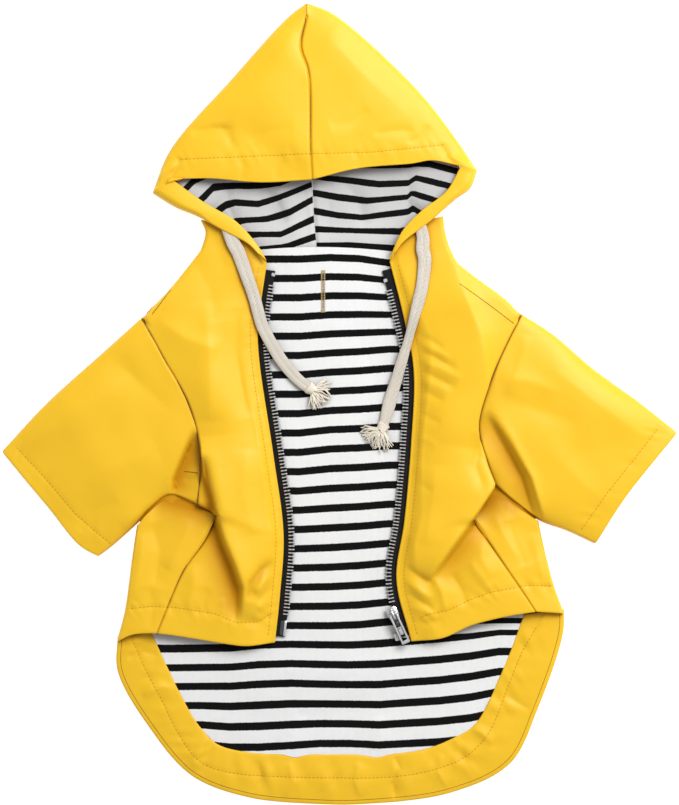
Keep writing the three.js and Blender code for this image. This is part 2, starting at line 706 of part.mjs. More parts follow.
// Zip: a tape under each front's edge, a strip that the teeth fill, stops, pin, box, slider and pull tab.
const tapeHeight = liningLayer + shell / 2 + seamGap + tape.wall / 2;
const teethHeight = tapeHeight - tape.wall / 2 + teeth.wall / 2;
const zipSides = {
  left: { edge: leftZipEdge, teethFrom: 0.055, teethTo: 0.93 },
  right: { edge: rightZipEdge, teethFrom: 0.07, teethTo: 0.895 },
};
for (const [side, zip] of Object.entries(zipSides)) {
  const tapeRun = stretch(zip.edge, tape.from, tape.to);
  const sign = side === 'left' ? 1 : -1;
  const flip = side === 'right';
  addPiece(`zip_tape_${side}`, levelSheet(
    beside(tapeRun, -sign * tape.hidden),
    beside(tapeRun, sign * tape.shown),
    levelRows.zip, 1, tapeHeight, { thick: tape.wall, flip },
  ), 'tape');
  const teethRun = stretch(zip.edge, zip.teethFrom, zip.teethTo);
  addPiece(`zip_teeth_${side}`, levelSheet(
    beside(teethRun, sign * (tape.shown + seamGap)),
    beside(teethRun, sign * (tape.shown + seamGap + teeth.width)),
    levelRows.zip, 1, teethHeight, { thick: teeth.wall, flip },
  ), 'metal');
}

// A small part in its own frame: its local +Y runs down the zip, turned by degrees from straight down.
function placed(mesh, at, degrees) {
  mesh.position.set(at.x, at.y, at.z);
  mesh.rotation.z = THREE.MathUtils.degToRad(180 + degrees);
  return mesh;
}
const bottomOfZip = tapeHeight - tape.wall / 2;

function block(width, length, thick) {
  return new THREE.BoxGeometry(width, length, thick).translate(0, 0, thick / 2);
}
const zipEnds = [
  { name: 'zip_stop_left', width: 2.6, length: 2.4, thick: 2, x: -43, y: 83.4, turn: -10, finish: 'metal' },
  { name: 'zip_stop_right', width: 2.6, length: 2.4, thick: 2, x: 29.9, y: 79.6, turn: 14, finish: 'metal' },
  { name: 'zip_pin', width: 1.8, length: 10, thick: 2, x: -35.4, y: -146.6, turn: -6, finish: 'film' },
  { name: 'zip_box', width: 4.6, length: 5, thick: 3, x: 37.9, y: -152, turn: 14, finish: 'metal' },
];
for (const end of zipEnds) {
  const mesh = addPiece(end.name, block(end.width, end.length, end.thick), end.finish);
  placed(mesh, { x: end.x, y: end.y, z: bottomOfZip }, end.turn);
}

// Slider: a tapered body on the tape, with an arch along it over the pull tab's cross bar.
const slider = {
  x: 34.8, y: -137.2, z: tapeHeight + tape.wall / 2 + seamGap, turn: 24.8,
  length: 9.4, wide: 7.4, narrow: 5.4, thick: 2.2,
};
const arch = { length: 7, width: 1.6, window: 4.4, clear: 2.4, roof: 1, sink: 0.6 };
const pull = {
  width: 5.6, length: 20.8, thick: 1.2, bar: 1.2, eyeWidth: 2.6, eyeEnd: 4.8,
  slotWidth: 2.2, slotFrom: 14.6, slotTo: 18.6, tip: 1.2,
};

const wasm = await Module();
wasm.setup();

function solidOf(geometry) {
  const plain = geometry.clone();
  plain.deleteAttribute('normal');
  plain.deleteAttribute('uv');
  const merged = mergeVertices(plain);
  return new wasm.Manifold(new wasm.Mesh({
    numProp: 3,
    vertProperties: new Float32Array(merged.attributes.position.array),
    triVerts: new Uint32Array(merged.index.array),
  }));
}

function geometryOf(solid) {
  const mesh = solid.getMesh();
  const geometry = new THREE.BufferGeometry();
  geometry.setAttribute('position', new THREE.Float32BufferAttribute(mesh.vertProperties, 3));
  geometry.setIndex([...mesh.triVerts]);
  geometry.computeVertexNormals();
  return geometry;
}

function sliderSolid() {
  const half = slider.length / 2;
  const body = plate([
    { x: -slider.wide / 2, y: -half }, { x: slider.wide / 2, y: -half },
    { x: slider.wide / 2, y: 0 }, { x: slider.narrow / 2, y: half },
    { x: -slider.narrow / 2, y: half }, { x: -slider.wide / 2, y: 0 },
  ], 0, slider.thick);
  const rise = arch.sink + arch.clear + arch.roof;
  const full = block(arch.width, arch.length, rise).translate(0, 0, slider.thick - arch.sink);
  const open = block(arch.width * 2, arch.window, arch.clear).translate(0, 0, slider.thick);
  return geometryOf(solidOf(body).add(solidOf(full)).subtract(solidOf(open)));
}
placed(addPiece('zip_slider', sliderSolid(), 'metal'), slider, slider.turn);

// Pull tab: a plate with an eye round the arch and a slot near its tip. Its cross bar is the hinge.
function pullSolid() {
  const side = pull.width / 2;
  const { tip } = pull;
  const eye = pull.eyeWidth / 2;
  const slot = pull.slotWidth / 2;
  return plate([
    { x: -side, y: -pull.bar / 2 }, { x: side, y: -pull.bar / 2 }, { x: side, y: pull.length - tip },
    { x: side - tip, y: pull.length }, { x: tip - side, y: pull.length }, { x: -side, y: pull.length - tip },
  ], -pull.thick / 2, pull.thick, [
    [
      { x: -eye, y: pull.bar / 2 }, { x: eye, y: pull.bar / 2 },
      { x: eye, y: pull.eyeEnd }, { x: -eye, y: pull.eyeEnd },
    ],
    [
      { x: -slot, y: pull.slotFrom }, { x: slot, y: pull.slotFrom },
      { x: slot, y: pull.slotTo }, { x: -slot, y: pull.slotTo },
    ],
  ]);
}
const hinge = { x: slider.x, y: slider.y, z: slider.z + slider.thick + arch.clear / 2 };
placed(addPiece('zip_pull_tab', pullSolid(), 'metal'), hinge, slider.turn);

// Drawstring: a flat cotton braid leaves the casing on each side and ends in a frayed knot.
function ellipse(width, height, sides) {
  const shape = new THREE.Shape();
  for (let k = 0; k < sides; k += 1) {
    const angle = (2 * Math.PI * k) / sides;
    const x = (height / 2) * Math.cos(angle);
    const y = (width / 2) * Math.sin(angle);
    if (k === 0) {
      shape.moveTo(x, y);
    } else {
      shape.lineTo(x, y);
    }
  }
  shape.closePath();
  return shape;
}
const cordRoutes = {
  left: [
    { x: -68.5, y: 103, z: 9.1 }, { x: -66, y: 98.5, z: 9.1 }, { x: -63.8, y: 93, z: 9.1 },
    { x: -59.4, y: 80.5, z: 9.1 }, { x: -55.1, y: 67.8, z: 8.6 }, { x: -52.8, y: 59, z: 8.0 },
    { x: -50.6, y: 51.4, z: 7.5 }, { x: -47, y: 43.5, z: 7.0 }, { x: -43.1, y: 36.5, z: 6.6 },
    { x: -38.8, y: 29.4, z: 5.6 }, { x: -34.1, y: 23, z: 4.5 }, { x: -28.9, y: 17.2, z: 4.2 },
    { x: -23.7, y: 12.5, z: 4.2 }, { x: -19.8, y: 9.7, z: 4.2 },
  ],
  right: [
    { x: 54.2, y: 106.5, z: 9.1 }, { x: 54, y: 100, z: 9.1 }, { x: 55.2, y: 94, z: 9.2 },
    { x: 54.6, y: 83.6, z: 9.5 }, { x: 53.4, y: 75, z: 9.9 }, { x: 51.5, y: 67, z: 10.1 },
    { x: 49, y: 57.5, z: 9.8 }, { x: 46.6, y: 48.4, z: 8.6 }, { x: 43.8, y: 38, z: 7.6 },
    { x: 40.6, y: 27.5, z: 6.7 }, { x: 37.4, y: 16.5, z: 5.2 }, { x: 33.9, y: 5.1, z: 4.3 },
    { x: 31.4, y: -4.5, z: 4.2 }, { x: 28.6, y: -14.5, z: 4.2 },
  ],
};
const cordKnots = {
  left: { x: -11.4, y: 4.8, turn: -32, length: 17, width: 11 },
  right: { x: 24.2, y: -23.4, turn: -118, length: 17, width: 12 },
};
const cordStep = 6;
const knotThick = 5;
const knotFaces = { round: 12, high: 8 };
for (const [side, route] of Object.entries(cordRoutes)) {
  const curve = new THREE.CatmullRomCurve3(route.map((row) => new THREE.Vector3(row.x, row.y, row.z)));
  const geometry = new THREE.ExtrudeGeometry(ellipse(cord.width, cord.thick, cord.sides), {
    steps: Math.round(curve.getLength() / cordStep),
    extrudePath: curve,
    bevelEnabled: false,
  });
  addPiece(`drawstring_${side}`, geometry, 'cotton');
  const knot = cordKnots[side];
  const ball = new THREE.SphereGeometry(1, knotFaces.round, knotFaces.high);
  const form = ball.scale(knot.length / 2, knot.width / 2, knotThick / 2);
  const mesh = addPiece(`drawstring_knot_${side}`, form, 'cotton');
  mesh.position.set(knot.x, knot.y, liningLayer + shell / 2 + seamGap + knotThick / 2);
  mesh.rotation.z = THREE.MathUtils.degToRad(knot.turn);
}

export default coat;
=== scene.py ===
"""Dog raincoat lying open on its back: coated shell, striped jersey lining, hood, zip and drawstring.

Tables and sizes inside the functions are in millimetres, +Z up and +Y towards the hood, and meshes
are made in metres. Left and right are as seen from above.
"""

import math

import bpy
import numpy as np
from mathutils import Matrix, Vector
from mathutils.bvhtree import BVHTree


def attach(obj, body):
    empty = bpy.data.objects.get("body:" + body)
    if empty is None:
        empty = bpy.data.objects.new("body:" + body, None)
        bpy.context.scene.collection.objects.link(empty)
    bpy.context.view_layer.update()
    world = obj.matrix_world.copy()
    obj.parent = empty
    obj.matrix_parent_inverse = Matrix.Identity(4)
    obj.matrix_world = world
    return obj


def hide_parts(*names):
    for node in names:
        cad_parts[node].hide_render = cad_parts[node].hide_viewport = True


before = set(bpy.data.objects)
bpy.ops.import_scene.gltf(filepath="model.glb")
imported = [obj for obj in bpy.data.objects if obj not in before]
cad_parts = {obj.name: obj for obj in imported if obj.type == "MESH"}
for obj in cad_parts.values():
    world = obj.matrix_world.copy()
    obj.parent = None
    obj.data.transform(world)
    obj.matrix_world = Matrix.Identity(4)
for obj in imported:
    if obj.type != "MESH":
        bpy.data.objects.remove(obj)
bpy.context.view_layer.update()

bl_info = {
    "name": "Dog raincoat",
    "version": (1, 0, 0),
    "blender": (4, 5, 0),
    "location": "3D View > Sidebar > Raincoat",
    "description": "Sews a small hooded dog raincoat, lying open on its back",
    "category": "Object",
}

MM = 0.001

TABLE_LAYER = 0.6
FOLDED_LAYER = 1.35
LINING_LAYER = 2.1
TAPE_LAYER = 3.5

surfaces = {}
materials = {}


# Lines, tables and folds


class Edge:
    """A smooth line through points, read by its share of length from 0 to 1."""

    def __init__(self, *points):
        knots = np.array(points, float)
        knots = np.vstack([2 * knots[0] - knots[1], knots, 2 * knots[-1] - knots[-2]])
        share = np.linspace(0, 1, 40, endpoint=False)[:, None]
        runs = []
        for a, b, c, d in zip(knots[:-3], knots[1:-2], knots[2:-1], knots[3:]):
            before, middle, after = (
                np.linalg.norm(q - p) ** 0.5 for p, q in ((a, b), (b, c), (c, d))
            )
            leave = ((b - a) / before - (c - a) / (before + middle) + (c - b) / middle) * middle
            arrive = ((c - b) / middle - (d - b) / (middle + after) + (d - c) / after) * middle
            runs.append(
                b
                + leave * share
                + (3 * (c - b) - 2 * leave - arrive) * share**2
                + (2 * (b - c) + leave + arrive) * share**3
            )
        self.line = np.vstack([*runs, knots[-2]])
        steps = np.linalg.norm(np.diff(self.line, axis=0), axis=1)
        self.reached = np.concatenate([[0], np.cumsum(steps)])
        self.length = self.reached[-1]

    def __call__(self, share):
        distance = np.clip(share, 0, 1) * self.length
        columns = [np.interp(distance, self.reached, column) for column in self.line.T]
        return np.stack(columns, -1)


def chain(*parts):
    """Lines laid end to end, each with its share of the whole."""

    def along(share):
        share = np.asarray(share, float)
        made = np.zeros(share.shape + (2,))
        start = 0.0
        for line, part in parts:
            here = share >= start - 1e-9
            made[here] = line((share[here] - start) / part)
            start += part
        return made

    return along


def straight(a, b):
    """An edge that runs straight from one point to another."""
    return Edge(a, (np.array(a) + np.array(b)) / 2, b)


def stretch(line, start, end):
    """Part of a line, from one share of its length to another."""
    return lambda share: line(start + (end - start) * np.asarray(share, float))


def beside(line, distance):
    """A line moved sideways in plan, to the left of its run where the distance is positive."""

    def along(share):
        share = np.asarray(share, float)
        run = line(share + 0.004) - line(share - 0.004)
        run /= np.linalg.norm(run, axis=-1, keepdims=True)
        side = np.stack([-run[..., 1], run[..., 0]], -1)
        return line(share) + side * distance

    return along


def graded(rows, at):
    """A number that changes smoothly along rows of (place, value)."""
    at = np.asarray(at, float)
    places, values = (np.array(column, float) for column in zip(*rows))
    index = np.clip(np.searchsorted(places, at, side="right") - 1, 0, len(places) - 2)
    share = np.clip((at - places[index]) / (places[index + 1] - places[index]), 0, 1)
    eased = share * share * (3 - 2 * share)
    return values[index] * (1 - eased) + values[index + 1] * eased


def nearest(line, x, y):
    """Distance from each plan point to a line of points, positive on its left, and the place along it."""
    best = np.full(x.shape, 1e9)
    side = np.ones(x.shape)
    place = np.zeros(x.shape)
    start = 0.0
    for (ax, ay), (bx, by) in zip(line[:-1], line[1:]):
        run_x, run_y = bx - ax, by - ay
        length = math.hypot(run_x, run_y)
        share = np.clip(((x - ax) * run_x + (y - ay) * run_y) / length**2, 0, 1)
        off_x, off_y = x - ax - share * run_x, y - ay - share * run_y
        distance = np.hypot(off_x, off_y)
        closer = distance < best
        best = np.where(closer, distance, best)
        side = np.where(closer, np.sign(run_x * off_y - run_y * off_x), side)
        place = np.where(closer, start + share * length, place)
        start += length
    return best * side, place, start


def fold_height(folds, x, y):
    """Height added by soft folds. Each is a line of plan points, its height, which is negative for a
    trough, and how far it reaches to the left and to the right of the line."""
    height = np.zeros(x.shape)
    for line, rise, left, right in folds:
        distance, place, length = nearest(line, x, y)
        reach = np.where(distance > 0, left, right)
        ends = 1 - (2 * place / length - 1) ** 4
        height += rise * ends * np.exp(-(np.abs(distance / reach) ** 1.4))
    return height


def hollows(folds, grid, full=5.0):
    """How deep in the larger troughs of a table each point of a grid lies, 1 at the full depth: the mask for
    the shade painted in the folds.
    """
    troughs = [row for row in folds if row[1] < -1.7]
    depth = -fold_height(troughs, grid[..., 0], grid[..., 1])
    return np.clip(depth / full, 0, 1) ** 1.3


def pucker(lines, x, y, depth=0.2, spread=5.0, slant=0.0, pace=1.25, groove=0.3):
    """Small gathers that a row of stitches pulls across the cloth, with the groove of the row itself."""
    height = np.zeros(x.shape)
    for line in lines:
        distance, place, _ = nearest(line, x, y)
        lean = place + slant * distance
        gather = np.sin(lean / pace + 2.3 * np.sin(lean / (7 * pace)))
        gather *= 0.45 + 0.55 * np.sin(place / 13.0) * np.sin(place / 4.7 + 1)
        height += depth * gather * np.exp(-((distance / spread) ** 2))
        height -= groove * np.exp(-((distance / 1.1) ** 2))
    return height


def ripple(x, y, depth, start=0.0):
    """Low uneven waves of cloth that has been folded away and smoothed out by hand."""
    waves = (
        (0.110, 0.035, 0.3, 1.0),
        (-0.050, 0.090, 1.9, 0.9),
        (0.035, -0.150, 4.1, 0.6),
        (0.190, 0.120, 2.6, 0.35),
        (-0.230, 0.060, 0.9, 0.25),
    )
    height = np.zeros(x.shape)
    for along_x, along_y, phase, share in waves:
        bend = 0.8 * np.sin(0.021 * x - 0.017 * y + phase)
        height += share * np.sin(along_x * x + along_y * y + phase + start + bend)
    return depth * height


# Cloth walls


def unit(vectors):
    """The same directions, each with a length of one."""
    return vectors / np.maximum(np.linalg.norm(vectors, axis=-1, keepdims=True), 1e-9)


def grid_normals(grid, ring=False):
    """Normal at each point of a grid, with the columns joined round where it is a ring."""
    across = np.roll(grid, -1, 1) - np.roll(grid, 1, 1) if ring else np.gradient(grid, axis=1)
    return unit(np.cross(across, np.gradient(grid, axis=0)))


def turned_grid(patch, rows, section, upper, height, rolled=14):
    """Rows of points across a turned edge: under part, round fold, then the upper part to the inner edge.

    patch gives plan points for (across, along). section holds foot, top, under and turn along the
    edge; turn is 1 where the cloth goes under and 0 where it ends at a seam."""
    along = np.linspace(0, 1, rows + 1)
    foot, top, turn = (
        graded(section[key], along)[:, None] for key in ("foot", "top", "turn")
    )
    outermost = patch(np.zeros(rows + 1), along)
    inward = unit(patch(np.full(rows + 1, 0.12), along) - outermost)
    radius = (top - foot) / 2
    angles = np.radians(-90 - 180 * np.linspace(0, 1, rolled))[None, :]
    reach = np.concatenate([radius + section["under"], radius * (1 + np.cos(angles))], 1)
    level = np.concatenate([foot, foot + radius * (1 + np.sin(angles))], 1)
    rim = np.linspace(0, 4.6, rolled + 1)[None, :]
    reach = reach * turn + rim * (1 - turn)
    level = level * turn + top * (1 - turn)
    lift = (level - foot) / (top - foot)
    width = np.linalg.norm(patch(np.ones(rows + 1), along) - outermost, axis=-1)[:, None]
    first = np.minimum(reach[:, -1:] / width, 0.6)
    across = first + (1 - first) * (1 - (1 - np.linspace(0, 1, upper + 1)[None, 1:]) ** 1.3)
    place = np.broadcast_to(along[:, None], across.shape)
    inner = patch(across, place)
    outer = outermost[:, None] + inward[:, None] * reach[..., None]
    plan = np.concatenate([outer, inner], 1)
    share = np.concatenate([np.minimum(reach / width, first), across], 1)
    place = np.broadcast_to(along[:, None], share.shape)
    raised = height(share, place, plan[..., 0], plan[..., 1], np.broadcast_to(top, share.shape))
    weight = np.concatenate([np.clip(lift, 0, 1) ** 2, np.ones(across.shape)], 1)
    base = np.concatenate([level, np.broadcast_to(top, across.shape)], 1)
    z = base + weight * (raised - np.broadcast_to(top, share.shape))
    return np.concatenate([plan, z[..., None]], -1)


def hem(grid, depth, radius=0.5, steps=6, curl=5, ring=False, flip=False):
    """Turns the last column of a grid under, by a depth for each row, along a small round fold."""
    depth = np.broadcast_to(np.asarray(depth, float), grid.shape[:1])[:, None]
    normals = grid_normals(grid, ring) * (-1 if flip else 1)
    end, normal = grid[:, -1], normals[:, -1]
    out = unit(end - grid[:, -3])
    columns = []
    for angle in np.linspace(0, math.pi, curl + 1)[1:]:
        columns.append(end + radius * (math.sin(angle) * out - (1 - math.cos(angle)) * normal))
    gone = np.linalg.norm(np.diff(grid[:, ::-1], axis=1), axis=-1)
    gone = np.concatenate([np.zeros((len(grid), 1)), np.cumsum(gone, 1)], 1)
    over = np.concatenate([grid, normals], -1)[:, ::-1]
    for step in range(1, steps + 1):
        back = depth * step / steps
        column = np.array(
            [
                [np.interp(b, g, row[:, k]) for k in range(6)]
                for b, g, row in zip(back[:, 0], gone, over)
            ]
        )
        columns.append(column[:, :3] - 2 * radius * unit(column[:, 3:]))
    return np.concatenate([grid, np.stack(columns, 1)], 1)


def across_rows(grid):
    """The grid with its rows and columns changed over."""
    return np.swapaxes(grid, 0, 1)


def hem_rows(grid, depth, radius=0.5, flip=False, last=True):
    """The same fold on the last row of a grid, or on its first."""
    turned = across_rows(grid if last else grid[::-1])
    made = across_rows(hem(turned, depth, radius, flip=not flip if last else flip))
    return made if last else made[::-1]


def cloth(name, grid, thick, material, ring=False, flip=False, chart=None, painted_shade=None):
    """A thin closed wall round a grid of middle points. chart gives the cloth's own coordinates of
    each point, which its pattern and weave follow, and the last argument how much shade the finish paints
    onto each point deep in a fold."""
    rows, columns = grid.shape[:2]
    normals = grid_normals(grid, ring) * (-1 if flip else 1)
    outer = grid + normals * thick / 2
    inner = grid - normals * thick / 2
    points = np.concatenate([outer.reshape(-1, 3), inner.reshape(-1, 3)])
    index = np.arange(rows * columns).reshape(rows, columns)
    if ring:
        index = np.concatenate([index, index[:, :1]], 1)
    under = index + rows * columns
    a, b, c, d = index[:-1, :-1], index[:-1, 1:], index[1:, 1:], index[1:, :-1]
    upper = np.stack([a, b, c, d], -1).reshape(-1, 4)
    lower = np.stack([d, c, b, a], -1).reshape(-1, 4) + rows * columns
    rims = [
        np.stack([index[0, 1:], index[0, :-1], under[0, :-1], under[0, 1:]], -1),
        np.stack([index[-1, :-1], index[-1, 1:], under[-1, 1:], under[-1, :-1]], -1),
    ]
    if not ring:
        rims.append(np.stack([index[:-1, 0], index[1:, 0], under[1:, 0], under[:-1, 0]], -1))
        rims.append(np.stack([index[1:, -1], index[:-1, -1], under[:-1, -1], under[1:, -1]], -1))
    quads = np.concatenate([upper, lower, *rims])
    if flip:
        quads = quads[:, ::-1]
    surfaces[name] = BVHTree.FromPolygons(points.tolist(), quads.tolist())
    if chart is None:
        chart = points[:, :2]
    else:
        chart = np.concatenate([chart.reshape(-1, 2)] * 2)
    piece = mesh_object(name, points, quads, material, chart)
    if painted_shade is not None:
        layer = piece.data.attributes.new("painted_shade", "FLOAT", "POINT")
        layer.data.foreach_set("value", np.concatenate([painted_shade.ravel()] * 2))
    return piece


def mesh_object(name, points, faces, material, chart=None, crease=50):
    """An object from points in millimetres and faces, smooth, with sharp creases over an angle."""
    mesh = bpy.data.meshes.new(name)
    faces = faces.tolist() if isinstance(faces, np.ndarray) else faces
    mesh.from_pydata((np.asarray(points) * MM).tolist(), [], faces)
    mesh.polygons.foreach_set("use_smooth", [True] * len(mesh.polygons))
    mesh.set_sharp_from_angle(angle=math.radians(crease))
    if chart is not None:
        corner = np.zeros(len(mesh.loops), int)
        mesh.loops.foreach_get("vertex_index", corner)
        layer = mesh.uv_layers.new(name="cloth")
        layer.uv.foreach_set("vector", np.asarray(chart, float)[corner].ravel())
    mesh.materials.append(material)
    piece = bpy.data.objects.new(f"fine_{name}", mesh)
    bpy.context.scene.collection.objects.link(piece)
    return piece


def hand_over(piece, nodes, body="coat"):
    """Tells the frame which body a piece moves with, and hides the model's nodes that it stands for."""
    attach(piece, body)
    if nodes:
        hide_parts(*nodes)
    return piece


# Thread


def down_on(names, x, y):
    """The first point below (x, y) on any of the named pieces, with its normal."""
    best = None
    for name in names:
        spot, normal, _, _ = surfaces[name].ray_cast(Vector((x, y, 90)), Vector((0, 0, -1)))
        if spot is not None and (best is None or spot.z > best[0].z):
            best = (spot, normal if normal.z > 0 else -normal)
    return best


def stitches(line, pitch=2.6, length=1.9):
    """Start and end of each stitch of a row along a plan line."""
    marks = np.array(line, float)
    reached = np.concatenate([[0], np.cumsum(np.linalg.norm(np.diff(marks, axis=0), axis=1))])
    starts = np.arange(pitch / 2, reached[-1] - length, pitch)
    ends = starts + length
    first, last = (
        np.stack([np.interp(places, reached, column) for column in marks.T], 1)
        for places in (starts, ends)
    )
    return list(zip(first, last))


def thread(name, on, pairs, material, radius=0.2, proud=0.08):
    """Stitches between pairs of plan points, laid on the named pieces."""
    profile = ((0, 0.35), (0.14, 0.85), (0.5, 1.0), (0.86, 0.85), (1, 0.35))
    sides = 6
    points, faces = [], []
    for start, end in pairs:
        first, last = down_on(on, *start), down_on(on, *end)
        if first is None or last is None:
            continue
        run = last[0] - first[0]
        if run.length > 1.6 * math.dist(start, end):
            continue
        up = first[1]
        side = up.cross(run).normalized()
        rings = []
        for share, swell in profile:
            middle = first[0] + run * share + up * (proud * math.sin(math.pi * share) - 0.05)
            for k in range(sides):
                angle = 2 * math.pi * k / sides
                spoke = side * math.cos(angle) + up * math.sin(angle)
                rings.append(middle + spoke * (radius * swell))
        faces.extend(tube_faces(len(profile), sides, len(points)))
        points.extend(rings)
    return mesh_object(name, [tuple(point) for point in points], faces, material)


def tube(points, radii, sides, up=(0, 0, 1), flat=1.0, phase=0.0):
    """Rings of points round a line; flat is the height of a ring for a width of one."""
    points = np.asarray(points, float)
    run = unit(np.gradient(points, axis=0))
    side = unit(np.cross(np.broadcast_to(np.array(up, float), run.shape), run))
    lift = np.cross(run, side)
    angle = np.linspace(0, 2 * np.pi, sides, endpoint=False) + phase
    radii = np.broadcast_to(np.asarray(radii, float), len(points))[:, None, None]
    return (
        points[:, None]
        + side[:, None] * np.cos(angle)[None, :, None] * radii
        + lift[:, None] * np.sin(angle)[None, :, None] * radii * flat
    )


def tube_faces(rings, sides, base=0):
    """Faces between the rings of a tube, with a cap at each end."""
    index = np.arange(rings * sides).reshape(rings, sides) + base
    index = np.concatenate([index, index[:, :1]], 1)
    a, b, c, d = index[:-1, :-1], index[:-1, 1:], index[1:, 1:], index[1:, :-1]
    faces = np.stack([a, b, c, d], -1).reshape(-1, 4).tolist()
    faces.append(index[0, :-1][::-1].tolist())
    faces.append(index[-1, :-1].tolist())
    return faces


# Finishes


class Finish:
    """A new material with its nodes at hand."""

    def __init__(self, name, colour, roughness, metallic=0.0):
        self.material = bpy.data.materials.new(name)
        self.material.use_nodes = True
        self.nodes = self.material.node_tree.nodes
        self.links = self.material.node_tree.links
        self.shader = self.nodes["Principled BSDF"]
        self.shader.inputs["Base Color"].default_value = (*colour[:3], 1)
        self.shader.inputs["Roughness"].default_value = roughness
        self.shader.inputs["Metallic"].default_value = metallic
        self.material.diffuse_color = (*colour[:3], 1)
        materials[name] = self.material

    def add(self, kind, settings=(), **inputs):
        node = self.nodes.new(kind)
        for key, value in dict(settings).items():
            setattr(node, key, value)
        for key, value in inputs.items():
            socket = node.inputs[int(key[1:])] if key[1:].isdigit() else node.inputs[key.replace("_", " ")]
            if isinstance(value, bpy.types.NodeSocket):
                self.links.new(value, socket)
            else:
                socket.default_value = value
        return node

    def sum(self, operation, a, b=0.0, c=0.0):
        return self.add("ShaderNodeMath", {"operation": operation}, _0=a, _1=b, _2=c).outputs[0]

    def place(self):
        return self.add("ShaderNodeTexCoord").outputs["Object"]

    def noise(self, scale, detail=2.0, roughness=0.5, at=None):
        vector = at or self.place()
        return self.add(
            "ShaderNodeTexNoise", Vector=vector, Scale=scale, Detail=detail, Roughness=roughness
        ).outputs["Fac"]

    def chart(self):
        """The cloth's own coordinates, across and along."""
        layer = self.add("ShaderNodeUVMap", {"uv_map": "cloth"}).outputs[0]
        parts = self.add("ShaderNodeSeparateXYZ", Vector=layer)
        return parts.outputs[0], parts.outputs[1]

    def mix(self, share, first, second):
        node = self.add("ShaderNodeMix", {"data_type": "RGBA"}, _0=share)
        for socket, value in ((node.inputs[6], first), (node.inputs[7], second)):
            if isinstance(value, bpy.types.NodeSocket):
                self.links.new(value, socket)
            else:
                socket.default_value = (*value[:3], 1)
        return node.outputs[2]

    def open_share(self, reach, power):
        """How open the surface is to its surroundings, by ambient occlusion: 1 in the open and less in a
        recess. The finishes paint shade into their colour with it.
        """
        node = self.add("ShaderNodeAmbientOcclusion", {"samples": 6}, Distance=reach)
        return self.sum("POWER", node.outputs["AO"], power)

    def colour(self, socket):
        self.links.new(socket, self.shader.inputs["Base Color"])

    def roughness(self, socket):
        self.links.new(socket, self.shader.inputs["Roughness"])

    def bump(self, height, distance, strength=1.0):
        previous = self.shader.inputs["Normal"]
        node = self.add("ShaderNodeBump", Height=height, Strength=strength, Distance=distance)
        if previous.is_linked:
            self.links.new(previous.links[0].from_socket, node.inputs["Normal"])
        self.links.new(node.outputs[0], previous)


def coated_cloth(props):
    """Smooth coated cloth with a fine plain weave under the film and a faint crinkle."""
    finish = Finish("yellow coated cloth", props.colour, 0.4)
    wide = finish.noise(26, 2, 0.5)
    fine = finish.noise(420, 3, 0.6)
    shade = [c * f for c, f in zip(props.colour, (0.96, 0.90, 0.70))]
    lit = finish.mix(finish.sum("MULTIPLY", wide, 0.5), props.colour, shade)
    # Painted shade: the colour turns dark orange deep in the folds' troughs and wherever ambient occlusion
    # finds a recess, and the specular is dimmed with it.
    depth = finish.add("ShaderNodeAttribute", {"attribute_name": "painted_shade"}).outputs["Fac"]
    open_air = finish.sum("MULTIPLY_ADD", depth, -0.8, 1.0)
    openness = finish.sum("MULTIPLY", finish.open_share(0.018, 1.5), open_air)
    finish.colour(finish.mix(openness, props.painted_shade, lit))
    finish.roughness(finish.sum("MULTIPLY_ADD", fine, 0.14, 0.33))
    shine = finish.sum("MULTIPLY", openness, 0.3)
    finish.links.new(shine, finish.shader.inputs["Specular IOR Level"])
    finish.bump(finish.noise(75, 3, 0.55), 0.0011, 0.22)
    across, along = finish.chart()
    weave = finish.sum(
        "MULTIPLY",
        finish.sum("SINE", finish.sum("MULTIPLY", across, 9.0)),
        finish.sum("SINE", finish.sum("MULTIPLY", along, 9.0)),
    )
    finish.bump(weave, 0.00003, 0.5)
    return finish.material


def striped_jersey(props):
    """White knit with black stripes: the cloth's second coordinate counts the stripes."""
    finish = Finish("striped jersey", props.white, 0.92)
    across, along = finish.chart()
    fray = finish.noise(900, 2, 0.6)
    count = finish.sum("MULTIPLY_ADD", finish.sum("SUBTRACT", fray, 0.5), 0.05, along)
    shifted = finish.sum("FRACT", finish.sum("ADD", count, 100.5))
    swing = finish.sum("ABSOLUTE", finish.sum("SUBTRACT", shifted, 0.5))
    edge = finish.add(
        "ShaderNodeMapRange", Value=swing, From_Min=props.share / 2 - 0.012,
        From_Max=props.share / 2 + 0.012, To_Min=1.0, To_Max=0.0,
    ).outputs[0]
    heather = finish.noise(260, 3, 0.6)
    shade = [c * f for c, f in zip(props.white, (0.94, 0.94, 0.94))]
    ground = finish.mix(heather, props.white, shade)
    knit = finish.mix(edge, ground, props.black)
    # Painted shade: a dimmed copy of the knit is mixed in deep in folds, where ambient occlusion finds a
    # recess, and towards the hood's brim.
    shaded_knit = finish.mix(edge, [c * 0.5 for c in props.white], props.black)
    depth = finish.add("ShaderNodeAttribute", {"attribute_name": "painted_shade"}).outputs["Fac"]
    open_air = finish.sum("MULTIPLY_ADD", depth, -0.75, 1.0)
    openness = finish.sum("MULTIPLY", finish.open_share(0.025, 1.3), open_air)
    finish.colour(finish.mix(openness, shaded_knit, knit))
    finish.shader.inputs["Specular IOR Level"].default_value = 0.15
    wale = finish.sum("SINE", finish.sum("MULTIPLY", across, 8.4))
    course = finish.sum("SINE", finish.sum("MULTIPLY", along, 118.0))
    finish.bump(finish.noise(120, 3, 0.6), 0.0009, 0.35)
    finish.bump(finish.sum("MULTIPLY_ADD", course, 0.5, wale), 0.00012, 0.55)
    return finish.material


